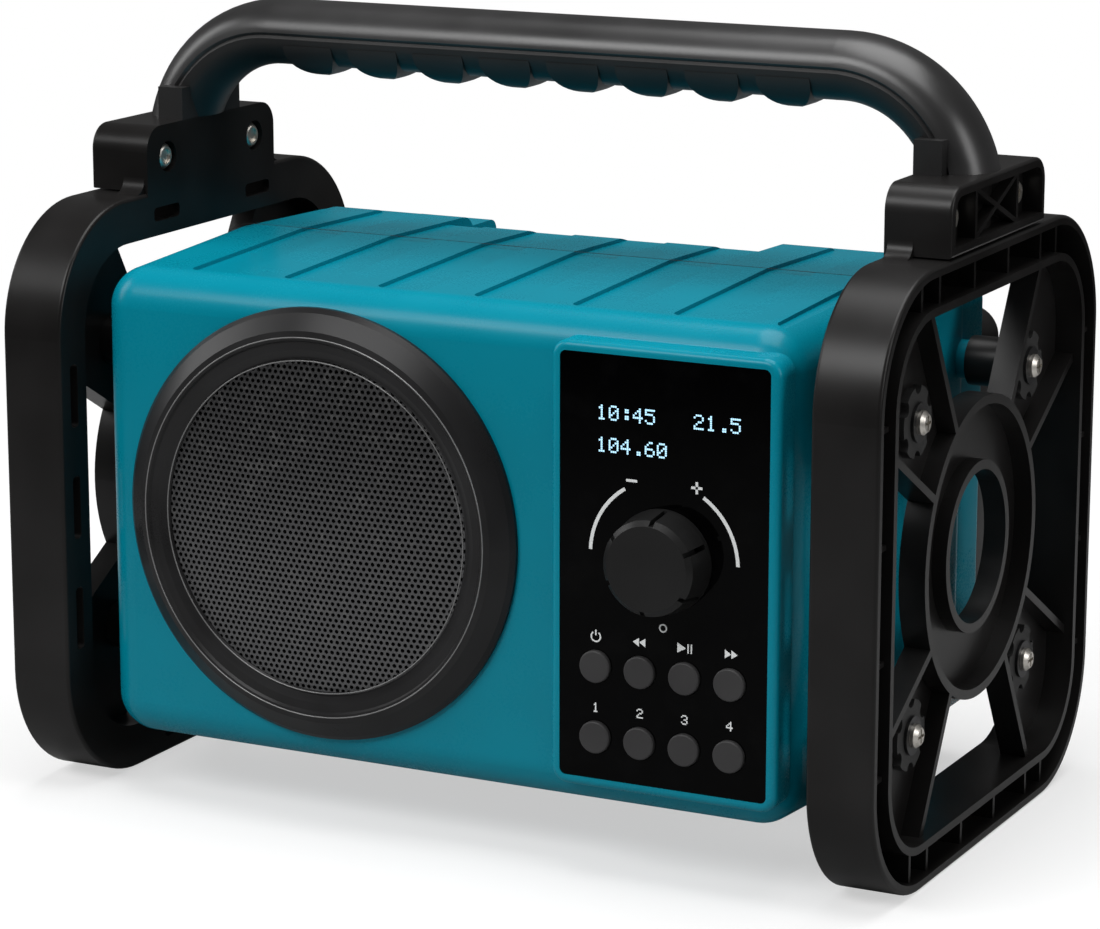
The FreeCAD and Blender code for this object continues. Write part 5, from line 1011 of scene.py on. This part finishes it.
@dataclass(frozen=True)
class Lamp:
    """A soft rectangular lamp that faces a point."""

    name: str
    at: Colour
    to: Colour
    size: tuple[float, float]
    watts: float

    def build(self) -> None:
        """Puts the lamp into the scene."""
        data = bpy.data.lights.new(self.name, "AREA")
        data.shape = "RECTANGLE"
        data.size, data.size_y = self.size
        data.energy = self.watts
        lamp = bpy.data.objects.new(self.name, data)
        lamp.location = self.at
        lamp.rotation_euler = (Vector(self.to) - Vector(self.at)).to_track_quat("-Z", "Y").to_euler()
        bpy.context.scene.collection.objects.link(lamp)
        lamp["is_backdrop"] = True


MIDDLE = (0.0, 0.0, 0.1)
LAMPS = (
    Lamp("overhead_softbox", (0.15, 0.05, 1.7), (0.0, 0.0, 0.0), (1.5, 1.2), 27.0),
    Lamp("front_softbox", (-0.5, -1.5, 1.45), MIDDLE, (1.3, 0.7), 26.0),
    Lamp("right_softbox", (1.7, -0.15, 0.75), MIDDLE, (0.6, 1.1), 9.0),
    Lamp("left_softbox", (-1.7, -0.4, 0.9), MIDDLE, (0.6, 1.1), 9.0),
)


@dataclass
class Studio:
    """The pale floor, the soft lamps and the camera."""

    floor_half: float = 4.0
    floor_near: float = 0.42
    floor_far: float = 0.924
    shadow_lift: float = 0.55
    world_dim: float = 0.10
    floor_colour: Colour = (0.90, 0.90, 0.90)
    floor_shade: Colour = (0.86, 0.86, 0.86)
    camera_at: Colour = (0.55835, -1.09942, 0.38918)
    camera_to: Colour = (-0.0023, 0.0057, 0.10491)
    camera_roll: float = math.radians(0.04)
    lens: float = 128.3
    sensor: float = 36.0

    def floor(self) -> None:
        """A square floor: matt and pale near the object, plain white to the camera further out."""
        square = np.array(((-1, -1, 0), (1, -1, 0), (1, 1, 0), (-1, 1, 0))) * self.floor_half
        floor = mesh_object("floor", square, np.array(((0, 1, 2, 3),)), smooth=False)
        g = Graph(bpy.data.materials.new("floor_white"))
        distance = g.add(Kind.VECTOR, {"operation": "LENGTH"}, {0: g.place}, "Value")
        away = distance.ramp(self.floor_near, self.floor_far, self.shadow_lift, 1.0)
        colour = g.blend(g.noise(0.3) * 0.04, self.floor_colour, self.floor_shade)
        matt = g.add(Kind.DIFFUSE, {}, {"Color": colour})
        glow = g.add(Kind.EMISSION, {}, {"Strength": g.add(Kind.LIGHT_PATH, {}, {}, "Is Camera Ray")})
        shader = g.add(Kind.MIX_SHADER, {}, {0: away, 1: matt, 2: glow})
        g.node(Kind.OUTPUT, {}, {"Surface": shader})
        floor.data.materials.append(g.owner)
        floor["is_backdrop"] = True

    def world(self) -> None:
        """White to the camera and a dim grey to everything else."""
        bpy.context.scene.world = bpy.data.worlds.new("studio")
        g = Graph(bpy.context.scene.world)
        seen = g.add(Kind.LIGHT_PATH, {}, {}, "Is Camera Ray")
        level = g.add(Kind.RANGE, {}, {"Value": seen, "To Min": self.world_dim, "To Max": 1.0}, "Result")
        back = g.add(Kind.BACKGROUND, {}, {"Color": (1.0, 1.0, 1.0, 1.0), "Strength": level})
        g.node(Kind.WORLD_OUTPUT, {}, {"Surface": back})

    def camera(self) -> None:
        """The camera that the photograph was taken from."""
        data = bpy.data.cameras.new("photo_camera")
        data.sensor_fit = "HORIZONTAL"
        data.sensor_width = self.sensor
        data.lens = self.lens
        data.clip_start = 0.05
        camera = bpy.data.objects.new("photo_camera", data)
        camera.location = self.camera_at
        aim = (Vector(self.camera_to) - Vector(self.camera_at)).to_track_quat("-Z", "Y")
        camera.rotation_euler = aim.to_euler()
        camera.rotation_euler.rotate_axis("Z", self.camera_roll)
        bpy.context.scene.collection.objects.link(camera)
        bpy.context.scene.camera = camera

    def build(self) -> None:
        """Sets the stage."""
        bpy.context.scene.view_settings.view_transform = "Standard"
        self.floor()
        self.world()
        self.camera()
        for lamp in LAMPS:
            lamp.build()


def corners() -> list[list[float]]:
    """The shown object's lowest and highest corners."""
    return [list(corner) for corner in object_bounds()]


def main() -> None:
    """Dresses the radio and sets the studio."""
    logging.basicConfig(level=logging.INFO, format="%(name)s: %(message)s")
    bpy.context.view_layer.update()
    palette = Palette()
    for part in (Solids(), Grille(), BezelHighlightBeads(), SeamLine(), Panel()):
        part.dress(palette)
        log.info("%s done", type(part).__name__)
    Studio().build()


if __name__ == "__main__":
    main()
